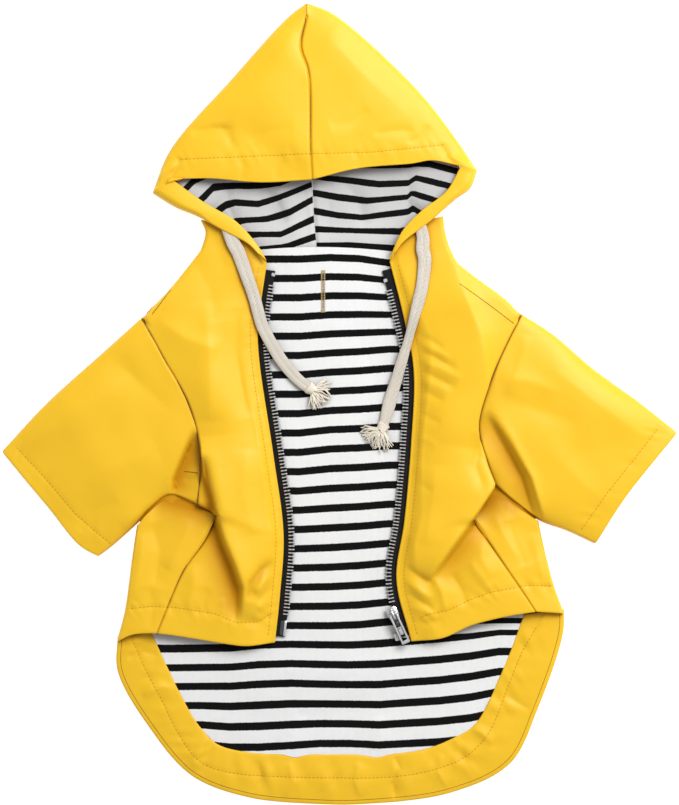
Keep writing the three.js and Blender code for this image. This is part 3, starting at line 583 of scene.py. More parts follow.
def thread_finish(name, colour):
    """Matte spun thread."""
    finish = Finish(name, colour, 0.6)
    finish.colour(finish.mix(finish.noise(700, 2, 0.6), colour, [c * 0.82 for c in colour[:3]]))
    finish.bump(finish.noise(2600, 1, 0.5), 0.0001, 0.4)
    return finish.material


def braided_cotton(props):
    """Flat cotton braid: two sets of yarns cross on the slant."""
    finish = Finish("cotton braid", props.colour, 0.95)
    around, along = finish.chart()
    sway = finish.sum("MULTIPLY", finish.sum("SUBTRACT", finish.noise(900, 2, 0.6), 0.5), 1.4)
    steps = finish.sum("MULTIPLY_ADD", along, 3.9, sway)
    turn = finish.sum("MULTIPLY", around, 2 * math.pi * 14)
    one = finish.sum("SINE", finish.sum("ADD", turn, steps))
    other = finish.sum("SINE", finish.sum("SUBTRACT", turn, steps))
    yarn = finish.sum("MULTIPLY", one, other)
    # Painted shade: the yarns are coloured darker where they dip under their neighbours, and random specks
    # vary the tone.
    lift = finish.add("ShaderNodeMapRange", Value=yarn, From_Min=-1.0, From_Max=0.6).outputs[0]
    shade = [c * f for c, f in zip(props.colour, (0.84, 0.80, 0.72))]
    speck = finish.noise(1500, 3, 0.7)
    lit = finish.sum("MULTIPLY_ADD", speck, 0.35, finish.sum("MULTIPLY", lift, 0.75))
    finish.colour(finish.mix(lit, shade, props.colour))
    finish.shader.inputs["Sheen Weight"].default_value = 0.3
    finish.bump(yarn, 0.00035, 0.8)
    finish.bump(speck, 0.0002, 0.5)
    return finish.material


def cotton_yarn(props):
    """Matte, slightly uneven yarn of the frayed ends."""
    finish = Finish("cotton yarn", props.colour, 0.95)
    speck = finish.noise(1300, 3, 0.7)
    shade = [c * f for c, f in zip(props.colour, (0.82, 0.78, 0.70))]
    finish.colour(finish.mix(speck, props.colour, shade))
    finish.shader.inputs["Sheen Weight"].default_value = 0.3
    finish.bump(speck, 0.0003, 0.6)
    return finish.material


def zip_tape_weave(props):
    """Black woven tape with a fine slanting twill."""
    finish = Finish("zip tape weave", props.tape, 0.8)
    across, along = finish.chart()
    twill = finish.sum("SINE", finish.sum("MULTIPLY", finish.sum("ADD", across, along), 10.0))
    lighter = [min(c * 1.8 + 0.004, 1) for c in props.tape]
    finish.colour(finish.mix(finish.noise(500, 2, 0.6), props.tape, lighter))
    finish.bump(twill, 0.00012, 0.6)
    finish.shader.inputs["Specular IOR Level"].default_value = 0.2
    return finish.material


def zip_metal(name, colour, metallic):
    """Plated metal, a little dulled, with fine scratches."""
    finish = Finish(name, colour, 0.28, metallic)
    worn = finish.noise(380, 4, 0.7)
    finish.roughness(finish.sum("MULTIPLY_ADD", worn, 0.22, 0.17))
    lit = finish.mix(worn, colour, [c * 0.8 for c in colour])
    # Painted shade: the colour goes almost black in recesses that ambient occlusion finds, such as between
    # the teeth.
    finish.colour(finish.mix(finish.open_share(0.0016, 1.6), [c * 0.05 for c in colour], lit))
    finish.bump(worn, 0.00008, 0.25)
    return finish.material


def tape_film(props):
    """Glossy film that stiffens the end of the tape."""
    finish = Finish("stiff tape film", props.film, 0.16)
    cloudy = finish.noise(240, 3, 0.6)
    finish.roughness(finish.sum("MULTIPLY_ADD", cloudy, 0.2, 0.1))
    finish.colour(finish.mix(cloudy, props.film, [min(c * 2.2, 1) for c in props.film]))
    finish.shader.inputs["Coat Weight"].default_value = 0.5
    return finish.material


# Outlines that neighbouring pieces share

LEFT_SHOULDER = Edge((-89.9, 99.1), (-110.2, 73.8), (-128.2, 55.1))
RIGHT_SHOULDER = Edge((76.4, 91), (88.7, 81.2), (107.4, 67.4), (118.2, 57.3))
LEFT_NECK = Edge((-90, 119), (-86.8, 111), (-89.9, 99.1))
RIGHT_NECK = Edge((67.2, 121.5), (68.3, 112), (71.4, 101), (76.4, 91))
LEFT_ARMHOLE = Edge((-128.2, 55.1), (-113.2, 27.5), (-97.6, -0.8), (-90.1, -32.2), (-91.6, -65.8))
RIGHT_ARMHOLE = Edge(
    (118.2, 57.3), (110.4, 42.5), (97.3, 12.5), (90.3, -15), (95.8, -38.2), (101.1, -53.1)
)
LEFT_SIDE_SEAM = Edge((-79.6, -72.8), (-87.4, -89), (-101.1, -109.2), (-118, -148.8))
RIGHT_SIDE_SEAM = Edge((86.9, -76.2), (101.1, -96.9), (116, -118.6), (126.9, -134.8))
LEFT_ZIP_EDGE = Edge(
    (-47.8, 91.7), (-53.6, 48.4), (-52.8, 27.5), (-43.9, -32.2), (-37.1, -85.8), (-39.4, -124.3),
    (-42.6, -155.1),
)
RIGHT_ZIP_EDGE = Edge(
    (33, 92.5), (42.1, 57.3), (48.8, 21.5), (47.3, -24.7), (42.8, -77), (37.7, -114.5),
    (47.1, -154.2),
)
LEFT_SIDE_FOLD = Edge((-131.4, -80), (-134.6, -101.1), (-139.2, -134.8), (-144.2, -154.1))
RIGHT_SIDE_FOLD = Edge((129, -76.8), (134.5, -101.1), (139.2, -118.6), (145.5, -136))
FACING_INNER = Edge(
    (-122.9, -149.6), (-103.9, -190.4), (-92, -210.3), (-80, -222.6), (-60, -228), (-36.3, -229.2),
    (0, -229.4), (33.3, -229.2), (55.2, -226.2), (75.1, -218.3), (89, -209.3), (105, -178.4),
    (120.9, -137.7),
)
FACING_OUTER = Edge(
    (-143.5, -152), (-143.3, -174.5), (-123.4, -210), (-95.7, -241.7), (-60, -255.5),
    (-16.4, -260), (17.4, -260), (73, -252.5), (110.6, -233.7), (128.4, -198), (144.4, -150.6),
    (145.3, -134.5),
)

# Rows of stitches, in plan

BRIM_STITCH = ((-104.3, 158), (-69.9, 159.2), (-20.5, 161.2), (21.8, 162.5), (47.1, 165.1), (68, 167.6))
CUFF_STITCH = {
    "left": ((-210.9, -27.9), (-190.8, -48.8), (-171.3, -72.2), (-147.9, -92.3)),
    "right": ((207.7, -15.6), (191.4, -36.4), (173.2, -59.1), (155.7, -84.5)),
}
HEM_STITCH = {
    "left": (
        (-139.4, -133.9), (-122.5, -132), (-106.3, -132.6), (-80.9, -136.5), (-67.3, -142.3),
        (-52.3, -141.7), (-45.2, -137.2),
    ),
    "right": (
        (52, -139.5), (56.9, -137.2), (71.8, -133.9), (83.5, -128.1), (97.2, -122.9),
        (111.5, -120.2), (123.2, -118.3), (138.1, -119),
    ),
}
FACING_STITCH = (
    (-135.5, -152.1), (-125.8, -174.2), (-116, -192.4), (-106.3, -212.6), (-95.9, -228.2),
    (-86.1, -236), (-66, -241.2), (-36.1, -243.1), (-6.2, -243.8), (36.1, -243.1), (63.4, -237.9),
    (82.9, -229.5), (97.2, -214.5), (108.9, -186.6), (118.6, -162.5), (129, -144.3),
)


def sampled(line, count=40):
    """Points along a line, as plain pairs."""
    return [tuple(point) for point in line(np.linspace(0, 1, count))]


ZIP_STITCH = {
    "left": sampled(beside(stretch(LEFT_ZIP_EDGE, 0.01, 0.99), -4.2)),
    "right": sampled(beside(stretch(RIGHT_ZIP_EDGE, 0.01, 0.99), 4.2)),
}


def patch_of(outer, inner, start, end):
    """Plan points of a patch held by four edges, across from outer to inner and along from start to end."""
    corners = [edge(np.array([share]))[0] for share in (0.0, 1.0) for edge in (outer, inner)]

    def plan(across, along):
        u, v = np.asarray(across, float)[..., None], np.asarray(along, float)[..., None]
        sides = outer(along) * (1 - u) + inner(along) * u
        ends = start(across) * (1 - v) + end(across) * v
        square = (corners[0] * (1 - u) + corners[1] * u) * (1 - v)
        square = square + (corners[2] * (1 - u) + corners[3] * u) * v
        return sides + ends - square

    return plan


# Pieces of the shell


def make_back(shell):
    """Back panel, which lies on the table, and the cloth that comes round each side fold."""
    left = Edge(
        (-86, 112), (-89, 99.1), (-109.6, 73.4), (-127, 55), (-112.4, 27.5), (-96.8, -0.8),
        (-89.3, -32.2), (-90.6, -67), (-109, -62), (-122, -72), (-130.4, -81.5), (-133.9, -101.1),
        (-138.5, -134.8), (-143.6, -154), (-144.4, -161), (-143.7, -174.5), (-123.8, -210.3),
        (-96, -242.1), (-60, -256), (-16.4, -260.5),
    )
    right = Edge(
        (66, 112), (75.6, 91), (87.9, 81), (106.6, 67), (117.4, 57), (109.6, 42.5), (96.5, 12.5),
        (89.4, -15), (94.6, -38.2), (99.6, -54.5), (113, -65.4), (128.2, -77), (133.7, -101.1),
        (138.4, -118.6), (144.8, -136), (145.6, -144), (144.6, -150.8), (128.8, -198.3),
        (111, -234.1), (73.1, -253), (17.4, -260.5),
    )
    share = np.linspace(0, 1, 130)
    across = np.linspace(0, 1, 50)[None, :, None]
    plan = left(share)[:, None] * (1 - across) + right(share)[:, None] * across
    grid = np.concatenate([plan, np.full(plan.shape[:2] + (1,), TABLE_LAYER)], -1)
    back = cloth("back_panel", grid, shell.wall / MM, materials["yellow coated cloth"])
    hand_over(back, ["back_panel"])


WRAPS = {
    "left": {
        "outer": LEFT_SIDE_FOLD,
        "inner": LEFT_SIDE_SEAM,
        "start": Edge((-131.4, -80), (-124.5, -71.8), (-110.6, -62.2), (-92.3, -68), (-79.6, -72.8)),
        "end": Edge((-144.2, -154.1), (-134.9, -149.9), (-124, -148.7), (-118, -148.8)),
        "shift": -0.3,
        "folds": (
            (((-124, -62), (-110, -61), (-92, -66), (-80, -74)), -2.6, 8, 14),
            (((-122, -78), (-117, -96), (-120, -120)), -1.5, 9, 5),
            (((-128, -84), (-130, -104), (-134, -128)), 0.9, 4, 7),
            (((-96, -76), (-103, -92), (-112, -108)), 1.1, 4, 6),
            (((-124, -118), (-121, -132), (-123, -147)), -0.7, 4, 6),
        ),
    },
    "right": {
        "outer": RIGHT_SIDE_FOLD,
        "inner": RIGHT_SIDE_SEAM,
        "start": Edge((129, -76.8), (113.4, -66.4), (102.4, -59), (94, -66), (86.9, -76.2)),
        "end": Edge((145.5, -136), (138, -135.4), (126.9, -134.8)),
        "shift": 0.3,
        "folds": (
            (((124, -66), (112, -58), (100, -58), (86, -74)), -2.6, 14, 8),
            (((110, -76), (114, -90), (121, -106)), -1.5, 8, 5),
            (((126, -84), (129, -100), (133, -120)), 0.9, 7, 4),
            (((100, -72), (108, -88), (118, -104)), 1.0, 5, 4),
        ),
    },
}


def make_side_wraps(shell):
    """The back panel's sides, which come round the side folds to the side seams."""
    for side, wrap in WRAPS.items():
        flip = side == "left"
        patch = patch_of(wrap["outer"], wrap["inner"], wrap["start"], wrap["end"])
        section = {
            "foot": ((0, FOLDED_LAYER), (1, FOLDED_LAYER)),
            "top": ((0, 4.4), (0.1, 4.6), (0.65, 6), (1, 6.4)),
            "turn": ((0, 1), (1, 1)),
            "under": 6.0,
        }

        def plan(across, along):
            moved = patch(across, along)
            moved[..., 0] += wrap["shift"] * np.asarray(across)
            return moved

        def height(across, along, x, y, top):
            seam_height = graded(((0, 5.4), (0.1, 5.8), (0.65, 8.3), (1, 9.2)), along)
            lip = 0.8 * np.exp(-(((1 - across) * 40 / 0.8) ** 2))
            relief = fold_height(wrap["folds"], x, y) + ripple(x, y, 0.16, 1.0)
            raised = top + (seam_height - top) * across**0.5
            return raised + relief + pucker([HEM_STITCH[side]], x, y, 0.3, 6, 0.6) - lip

        grid = turned_grid(plan, 80, section, 44, height)
        grid = hem_rows(grid, 14, flip=flip)
        # The larger troughs get painted shade.
        piece = cloth(
            f"side_wrap_{side}", grid, shell.wall / MM, materials["yellow coated cloth"], flip=flip,
            painted_shade=hollows(wrap["folds"], grid, 2.2),
        )
        hand_over(piece, [f"side_wrap_{side}"])


FRONTS = {
    "left": {
        "shares": (0.12, 0.88),
        "drop": ((0, 0), (0.715, 0), (0.735, 3.6), (0.9, 0.8), (1, 0)),
        "neck": LEFT_NECK,
        "shoulder": LEFT_SHOULDER,
        "armhole": LEFT_ARMHOLE,
        "seam": LEFT_SIDE_SEAM,
        "inner": LEFT_ZIP_EDGE,
        "start": Edge((-90, 119), (-75, 115.4), (-61, 105.8), (-47.8, 91.7)),
        "end": Edge((-118, -148.8), (-106, -150.3), (-72.7, -155.7), (-60.3, -156.9), (-42.6, -155.1)),
        "folds": (
            (
                (
                    (-90, -22), (-87.5, -46), (-80, -68), (-73.7, -88.9), (-66.7, -105.6), (-61.6, -120),
                    (-63, -140),
                ),
                6.0, 15, 2.4,
            ),
            (((-86, -64), (-79, -88), (-72, -105), (-66.8, -121), (-67.5, -142)), -4.6, 3, 12),
            (((-88.8, -34), (-85, -54), (-80, -73)), -4.6, 2.8, 7),
            (((-96, -104), (-94, -118), (-99, -136)), 1.3, 5, 6),
            (((-42, -102), (-51, -108), (-57.5, -117), (-60, -128)), -2.2, 5, 2.5),
            (((-41, -111.5), (-48, -115), (-55, -123)), 1.5, 3, 3),
            (((-41, -120), (-48, -123), (-54, -130)), -1.2, 2.5, 3),
            (((-41, -127), (-47, -129), (-53, -134)), 1.0, 2.5, 2.5),
            (((-42, -140), (-52, -143), (-64, -143)), -0.8, 2.5, 2.5),
            (((-76, -126), (-75, -134), (-78, -142)), 0.9, 3, 3),
            (((-86, -120), (-88, -130), (-92, -138)), -0.8, 4, 4),
            (((-87, 66), (-84, 30), (-84, -12)), 2.2, 10, 12),
            (((-67, 62), (-66, 30), (-60, -10)), -1.6, 8, 7),
            (((-118, 54), (-100, 42), (-78, 34)), 1.4, 6, 9),
            (((-96, 96), (-84, 74), (-80, 52)), -1.0, 9, 9),
            (((-60, -30), (-62, -56), (-56, -86)), 1.4, 8, 7),
            (((-84, 112), (-78, 100), (-74, 84)), -0.7, 6, 6),
        ),
    },
    "right": {
        "shares": (0.2, 0.8),
        "drop": ((0, 0), (0.735, 0), (0.757, 3.6), (0.9, 0.8), (1, 0)),
        "neck": RIGHT_NECK,
        "shoulder": RIGHT_SHOULDER,
        "armhole": RIGHT_ARMHOLE,
        "seam": RIGHT_SIDE_SEAM,
        "inner": RIGHT_ZIP_EDGE,
        "start": Edge((67.2, 121.5), (53, 117), (41, 107), (33, 92.5)),
        "end": Edge((126.9, -134.8), (108.9, -137.7), (85.7, -143.5), (67.2, -151.6), (47.1, -154.2)),
        "folds": (
            (((106, -44), (96, -60), (86.3, -73.5), (72, -93), (56, -115)), 6.0, 2.4, 14),
            (((100, -58), (90, -76), (77, -94), (62, -115)), -2.9, 12, 2.5),
            (((92, -20), (88, -40), (94, -58)), -1.6, 4, 5),
            (((94, -86), (92, -100), (99, -114)), 1.3, 5, 5),
            (((51, 44), (59, 41), (68, 35)), -0.6, 1.6, 2.4),
            (((51, 39), (60, 35), (72, 28)), 0.8, 2.0, 2.4),
            (((51, 34), (62, 30), (76, 22)), -1.0, 1.8, 2.6),
            (((51, 28), (63, 23), (80, 15)), 0.9, 2.2, 2.6),
            (((51, 22), (62, 17), (76, 10)), -0.9, 1.8, 2.6),
            (((51, 16), (60, 12), (72, 6)), 0.7, 2.0, 2.6),
            (((51, 9), (59, 6), (68, 1)), -0.7, 1.8, 2.6),
            (((51, -6), (58, -9), (66, -13)), -0.6, 2.0, 2.6),
            (((50, -22), (57, -24), (64, -28)), 0.5, 2.0, 2.6),
            (((48, -52), (55, -54), (61, -58)), -0.5, 2.0, 2.6),
            (((70, 100), (80, 73), (91, 44), (97, 10), (92, -30)), 4.2, 7, 28),
            (((42, -106), (52, -113), (62, -118)), -1.5, 2.5, 4),
            (((42, -115), (51, -121), (60, -127)), 1.4, 2.5, 3),
            (((43, -123), (51, -128), (61, -134)), -1.4, 2.5, 3),
            (((45, -132), (53, -135), (64, -137)), 1.0, 2, 2.5),
            (((46, -142), (56, -143), (68, -141)), -0.8, 2, 2.5),
            (((62, -114), (67, -124), (69, -136)), 1.2, 3, 3),
            (((72, -110), (78, -120), (83, -130)), -1.6, 4, 4),
            (((84, -102), (91, -112), (99, -121)), 1.2, 4, 4),
            (((62, -40), (60, -66), (56, -92)), 1.3, 8, 8),
        ),
    },
}


def make_fronts(shell):
    """Left and right front, creased over the layers below them."""
    for side, front in FRONTS.items():
        flip = side == "left"
        joined = straight(front["armhole"](1.0), front["seam"](0.0))
        first, second = front["shares"]
        outer = chain(
            (front["neck"], 0.08), (front["shoulder"], 0.16), (front["armhole"], 0.44),
            (joined, 0.32 * first), (front["seam"], 0.32 * second),
        )
        plan = patch_of(outer, front["inner"], front["start"], front["end"])
        section = {
            "foot": ((0, FOLDED_LAYER), (1, FOLDED_LAYER)),
            "top": ((0, 6.4), (0.1, 6.8), (0.2, 8.6), (0.4, 9.4), (0.7, 9.8), (1, 9)),
            "turn": ((0, 1), (0.2, 1), (0.27, 0), (1, 0)),
            "under": 1.5,
        }
        seam = sampled(stretch(outer, 0.25, 1), 60)

        def height(across, along, x, y, top):
            crown = graded(((0, 0), (0.08, 0.2), (0.2, 1.6), (0.5, 2.4), (1, 0.4)), along)
            crown = crown * np.sin(np.pi * np.minimum(across / 0.78, 1))
            rim = nearest(seam, x, y)[0]
            crown = crown - graded(front["drop"], along) * np.exp(-np.abs(rim) / 9)
            relief = fold_height(front["folds"], x, y) + ripple(x, y, 0.26)
            settle = graded(((0, 1), (0.78, 1), (1, 0)), across)
            raised = 5.4 * (1 - settle) + (top + crown + relief) * settle
            lip = 0.9 * np.exp(-((rim / 0.7) ** 2))
            gathers = pucker([HEM_STITCH[side]], x, y, 0.3, 6, 0.6)
            return raised - lip + gathers + pucker([ZIP_STITCH[side]], x, y, 0.16, 4, 0.3, groove=0.08)

        grid = turned_grid(plan, 180, section, 70, height)
        grid = hem(grid, 1.2, flip=flip)
        grid = hem_rows(grid, 14, flip=flip)
        # The larger troughs get painted shade.
        piece = cloth(
            f"front_{side}", grid, shell.wall / MM, materials["yellow coated cloth"], flip=flip,
            painted_shade=hollows(front["folds"], grid, 4.5),
        )
        hand_over(piece, [f"front_{side}"])


SLEEVES = {
    "left": {
        "outer": Edge(
            (-156.5, -99.3), (-147.6, -92.6), (-131.2, -77.7), (-123.7, -69.5), (-110.2, -59.8),
            (-91.6, -65.8),
        ),
        "inner": Edge((-219, -31), (-190.8, -0.8), (-153.5, 32.7), (-128.2, 55.1)),
        "start": Edge((-156.5, -99.3), (-168.5, -91.9), (-189.3, -66.5), (-219, -31)),
        "armhole": LEFT_ARMHOLE,
        "away": -0.5,
        "folds": (
            (((-93, -18), (-100.5, -36), (-106.5, -50), (-108.5, -66)), -6.2, 13, 1.8),
            (((-91, -46), (-96, -49), (-101, -50)), -0.8, 1.2, 1.2),
            (((-140, -82), (-126, -69), (-110, -58)), 1.6, 4, 3),
            (((-150, 30), (-128, 12), (-106, -8)), -1.3, 9, 11),
            (((-206, -30), (-172, -8), (-134, 18)), 1.4, 14, 10),
            (((-184, -72), (-152, -46), (-118, -30)), 1.1, 10, 12),
            (((-120, 46), (-112, 28), (-104, 10)), 0.9, 4, 6),
            (((-168, -84), (-160, -72), (-144, -62)), -0.8, 6, 5),
        ),
    },
    "right": {
        "outer": Edge((165.9, -91.1), (148.1, -82.9), (130.1, -76.2), (113.6, -64), (101.1, -53.1)),
        "inner": Edge((219, -18.8), (194.3, 0.7), (164.5, 22.3), (139.1, 43.9), (118.2, 57.3)),
        "start": Edge((165.9, -91.1), (185.4, -60.5), (219, -18.8)),
        "armhole": RIGHT_ARMHOLE,
        "away": 0.5,
        "folds": (
            (((94, -6), (106, -26), (118.5, -49), (127, -78)), -5.6, 3.6, 11),
            (((97, -3), (111.5, -24.5), (125, -48.6), (134, -78)), 1.8, 3, 1.6),
            (((104, 16), (124, 14), (144, 6)), 1.0, 5, 7),
            (((102, 4), (128, -4), (156, -14)), -1.0, 7, 8),
            (((204, -26), (172, -4), (136, 24)), 1.4, 10, 14),
            (((180, -70), (156, -50), (134, -26)), 1.1, 10, 9),
            (((122, 44), (116, 22), (108, 4)), 0.9, 6, 4),
        ),
    },
}


def make_sleeves(shell):
    """Short sleeves: flattened tubes with a turned cuff."""
    upper, lower = 110, 44
    for side, sleeve in SLEEVES.items():
        flip = side == "left"
        armhole = stretch(sleeve["armhole"], 1, 0)
        plan = patch_of(sleeve["outer"], sleeve["inner"], sleeve["start"], armhole)
        along = np.concatenate([np.linspace(0, 0.97, 84), (0.979, 0.986, 0.992, 0.996, 1)])[:, None]
        angle = np.pi * np.linspace(0, 1, upper + 1)
        spread = np.sign(np.cos(angle)) * np.abs(np.cos(angle)) ** 0.7
        across = np.concatenate([(1 - spread) / 2, np.linspace(1, 0, lower + 1)[1:-1]])
        lift = np.concatenate([np.maximum(np.sin(angle), 0) ** 0.42, np.zeros(lower - 1)])
        u, v = np.broadcast_arrays(across[None, :], along)
        points = plan(u, v)
        points[..., 0] += sleeve["away"] * v
        x, y = points[..., 0], points[..., 1]
        rise = graded(((0, 6.4), (0.5, 9.4), (1, 9)), v)
        width = np.linalg.norm(plan(np.ones_like(v), v) - plan(np.zeros_like(v), v), axis=-1)
        inside = np.minimum(u, 1 - u) * width
        edge_roll = np.sqrt(1 - (1 - np.clip(inside / 1.7, 0, 1)) ** 2)
        pressed = 3.2 * edge_roll + (rise - 3.2) * (1 - np.exp(-inside / 8))
        near_armhole = graded(((0.7, 0), (0.97, 1)), v)
        body = pressed * (1 - near_armhole) + rise * lift * near_armhole
        seam = sampled(sleeve["armhole"], 60)
        lip = 0.9 * np.exp(-((nearest(seam, x, y)[0] / 0.7) ** 2))
        relief = fold_height(sleeve["folds"], x, y) + ripple(x, y, 0.26, 2.0)
        relief = relief + pucker([CUFF_STITCH[side]], x, y, 0.24, 6, 0.5) - lip
        is_upper = np.arange(len(across)) <= upper
        z = TABLE_LAYER + is_upper * (body + relief * (1 - np.exp(-inside / 4)))
        grid = np.concatenate([points, z[..., None]], -1)
        grid = np.concatenate([grid, grid[:, :1]], 1)
        grid = hem_rows(grid, 14, flip=flip, last=False)[:, :-1]
        inward = unit(grid[-1] - grid[-4])
        seam_row = grid[-1]
        for reach, drop in ((1.2, 0.9), (2.4, 1.8), (3.8, 2.3)):
            row = seam_row + inward * reach
            row[:, 2] = np.maximum(seam_row[:, 2] - drop, FOLDED_LAYER)
            grid = np.concatenate([grid, row[None]], 0)
        # The larger troughs get painted shade.
        piece = cloth(
            f"sleeve_{side}", grid, shell.wall / MM, materials["yellow coated cloth"], ring=True,
            flip=flip, painted_shade=hollows(sleeve["folds"], grid, 8.0),
        )
        hand_over(piece, [f"sleeve_{side}"])


UNDERARMS = {
    "left": (
        Edge((-130, -75), (-122, -63), (-110, -54), (-97, -60), (-85, -65)),
        Edge((-129, -83), (-122, -77), (-110, -69), (-94, -75), (-84, -80)),
    ),
    "right": (
        Edge((128, -72), (115, -58), (103, -46), (91, -55), (79, -72)),
        Edge((127, -81), (115, -73), (104, -67), (97, -72), (91, -83)),
    ),
}


def make_underarms(shell):
    """Strip of cloth deep in each underarm, from inside the sleeve to inside the side wrap."""
    for side, (inside_sleeve, inside_wrap) in UNDERARMS.items():
        share = np.linspace(0, 1, 60)
        across = np.linspace(0, 1, 18)[None, :, None]
        plan = inside_sleeve(share)[:, None] * (1 - across) + inside_wrap(share)[:, None] * across
        sag = 0.8 * np.sin(np.pi * across[..., 0]) + 0.2 * np.sin(share * 23)[:, None]
        grid = np.concatenate([plan, (3.2 - sag)[..., None]], -1)
        material = materials["yellow coated cloth"]
        # The whole strip is painted in shade, at 0.8 of the full amount.
        deep = np.full(grid.shape[:2], 0.8)
        piece = cloth(
            f"underarm_{side}", grid, shell.wall / MM, material, flip=side == "right", painted_shade=deep
        )
        hand_over(piece, [])


HOODS = {
    "left": {
        "slope": Edge((-21.55, 260), (-33.2, 251), (-69.7, 210.9), (-109.8, 164.5), (-121.3, 136.5)),
        "outer_cheek": Edge(
            (-121.3, 136.5), (-106, 127.1), (-92.4, 121.5), (-76.8, 112.8), (-59.5, 103.5), (-53, 97.4),
        ),
        "seam": Edge((-21.55, 251), (-25.2, 230.9), (-20.3, 214.5), (-18.9, 163.5), (-18, 145.2)),
        "brim": Edge((-18, 145.2), (-51.5, 143.4), (-84.3, 145.9), (-109.9, 145.2)),
        "inner_cheek": Edge((-109.9, 145.2), (-89.2, 130.3), (-67.5, 117.2), (-53.2, 101.6), (-47.8, 92.6)),
        "under": Edge(
            (-22.2, 251), (-31, 244), (-64, 206), (-94, 171), (-104, 157), (-107.5, 144.5), (-96, 134),
            (-82, 122), (-79, 112), (-81, 99.7),
        ),
        "shift": -0.15,
        "folds": (
            (((-28, 240), (-52, 206), (-78, 176)), 1.1, 12, 9),
            (((-97, 176), (-84, 178), (-68, 178)), -1.0, 2.5, 4),
            (((-78, 181), (-72, 174), (-68, 164)), -0.8, 3, 3),
            (((-60, 170), (-46, 176), (-30, 178)), -0.6, 4, 6),
            (((-121, 142), (-114, 149), (-104, 157)), 1.5, 3, 3),
            (((-110, 146), (-106, 152), (-104, 160)), -0.9, 2.5, 2.5),
            (((-64, 144), (-62, 152), (-66, 160)), -0.5, 2, 3),
            (((-40, 144), (-40, 152), (-36, 160)), -0.4, 3, 2),
        ),
    },
    "right": {
        "slope": Edge((-21.15, 260), (-4.1, 252.9), (48.8, 205.4), (76.2, 170.8), (89.3, 151)),
        "outer_cheek": Edge(
            (89.3, 151), (84.8, 139.6), (75.7, 132.7), (57.7, 117.2), (40.9, 104.1), (36.6, 98.6),
        ),
        "seam": Edge((-21.15, 251), (-24.8, 230.9), (-19.9, 214.5), (-18.5, 163.5), (-17.6, 145.2)),
        "brim": Edge((-17.6, 145.2), (12.3, 152.5), (47, 155.6), (60.7, 157.6), (79.5, 153.6)),
        "inner_cheek": Edge((79.5, 153.6), (70.1, 137.4), (53.4, 124), (41.5, 111.6), (32.6, 93.6)),
        "under": Edge(
            (-20.5, 251), (-8, 245), (40, 201.5), (68, 167), (79, 151), (76, 142.5), (69, 135),
            (59, 122), (59, 112), (64, 99.7),
        ),
        "shift": 0.15,
        "folds": (
            (((-10, 240), (14, 214), (46, 184)), 1.1, 9, 12),
            (((22, 174), (34, 176), (48, 177)), -0.9, 4, 2.5),
            (((58, 180), (52, 172), (44, 168)), -0.7, 3, 3),
            (((-6, 178), (8, 182), (20, 190)), -0.6, 6, 4),
            (((88, 152), (80, 156), (70, 160)), 1.3, 3, 3),
            (((76, 154), (70, 160), (66, 168)), -0.8, 2.5, 2.5),
            (((10, 152), (12, 158), (10, 164)), -0.4, 2, 3),
            (((38, 155), (38, 160), (42, 166)), -0.4, 3, 2),
        ),
    },
}
HOOD_CENTRE = Edge((-21.4, 251), (-20.5, 214), (-18.7, 163.5), (-16.6, 122), (-14.5, 99.7))


def make_hood(shell):
    """Hood sides: the upper half turns under round the silhouette and ends in the turned-out cheek band."""
    for side, hood in HOODS.items():
        flip = side == "left"
        outer = chain((hood["slope"], 0.62), (hood["outer_cheek"], 0.38))
        inner = chain((hood["seam"], 0.36), (hood["brim"], 0.26), (hood["inner_cheek"], 0.38))
        seam = sampled(hood["seam"], 40)

        def plan(across, along):
            u = np.asarray(across, float)[..., None]
            return outer(along) * (1 - u) + inner(along) * u

        section = {
            "foot": ((0, TABLE_LAYER), (0.66, TABLE_LAYER), (0.76, 3.2), (0.83, 9.2), (1, 8.2)),
            "top": ((0, 4.6), (0.2, 5), (0.45, 5.2), (0.56, 5.4), (0.68, 10.8), (0.74, 11.4), (1, 10.6)),
            "turn": ((0, 1), (1, 1)),
            "under": 1.5,
        }

        def height(across, along, x, y, top):
            edge_height = graded(
                ((0, 8.4), (0.15, 12), (0.3, 13.5), (0.38, 11.5), (0.62, 9.6), (0.8, 10.6), (1, 9.4)), along
            )
            crown = graded(((0, 0.5), (0.25, 1.4), (0.45, 1.2), (0.6, 0.5), (1, 0.3)), along)
            relief = fold_height(hood["folds"], x, y) + ripple(x, y, 0.24, 4.0)
            relief = relief * graded(((0, 1), (0.6, 1), (0.7, 0.2), (1, 0.2)), along)
            bend = graded(((0, 0.42), (0.56, 0.42), (0.68, 1), (1, 1)), along)
            raised = top + (edge_height - top) * across**bend + crown * np.sin(np.pi * across)
            lip = 1.0 * np.exp(-((nearest(seam, x, y)[0] / 0.8) ** 2))
            return raised + relief + pucker([BRIM_STITCH], x, y, 0.2, 6, 0.4, groove=0.12) - lip

        grid = turned_grid(plan, 210, section, 76, height)
        along = np.linspace(0, 1, len(grid))
        casing = graded(((0, 1), (0.34, 1), (0.4, 12), (0.58, 12), (0.64, 1.5), (1, 1.5)), along)
        grid = hem(grid, casing, flip=flip)
        piece = cloth(f"hood_{side}", grid, shell.wall / MM, materials["yellow coated cloth"], flip=flip)
        hand_over(piece, [f"hood_{side}"])

        share = np.linspace(0, 1, 70)
        across = np.linspace(0, 1, 30)[None, :, None]
        centre = HOOD_CENTRE(share) + np.array([hood["shift"], 0])
        plan_grid = hood["under"](share)[:, None] * (1 - across) + centre[:, None] * across
        level = np.concatenate([plan_grid, np.full(plan_grid.shape[:2] + (1,), TABLE_LAYER)], -1)
        under = cloth(
            f"hood_back_{side}", level, shell.wall / MM, materials["yellow coated cloth"],
            flip=not flip,
        )
        hand_over(under, [f"hood_back_{side}"])


# Jersey lining

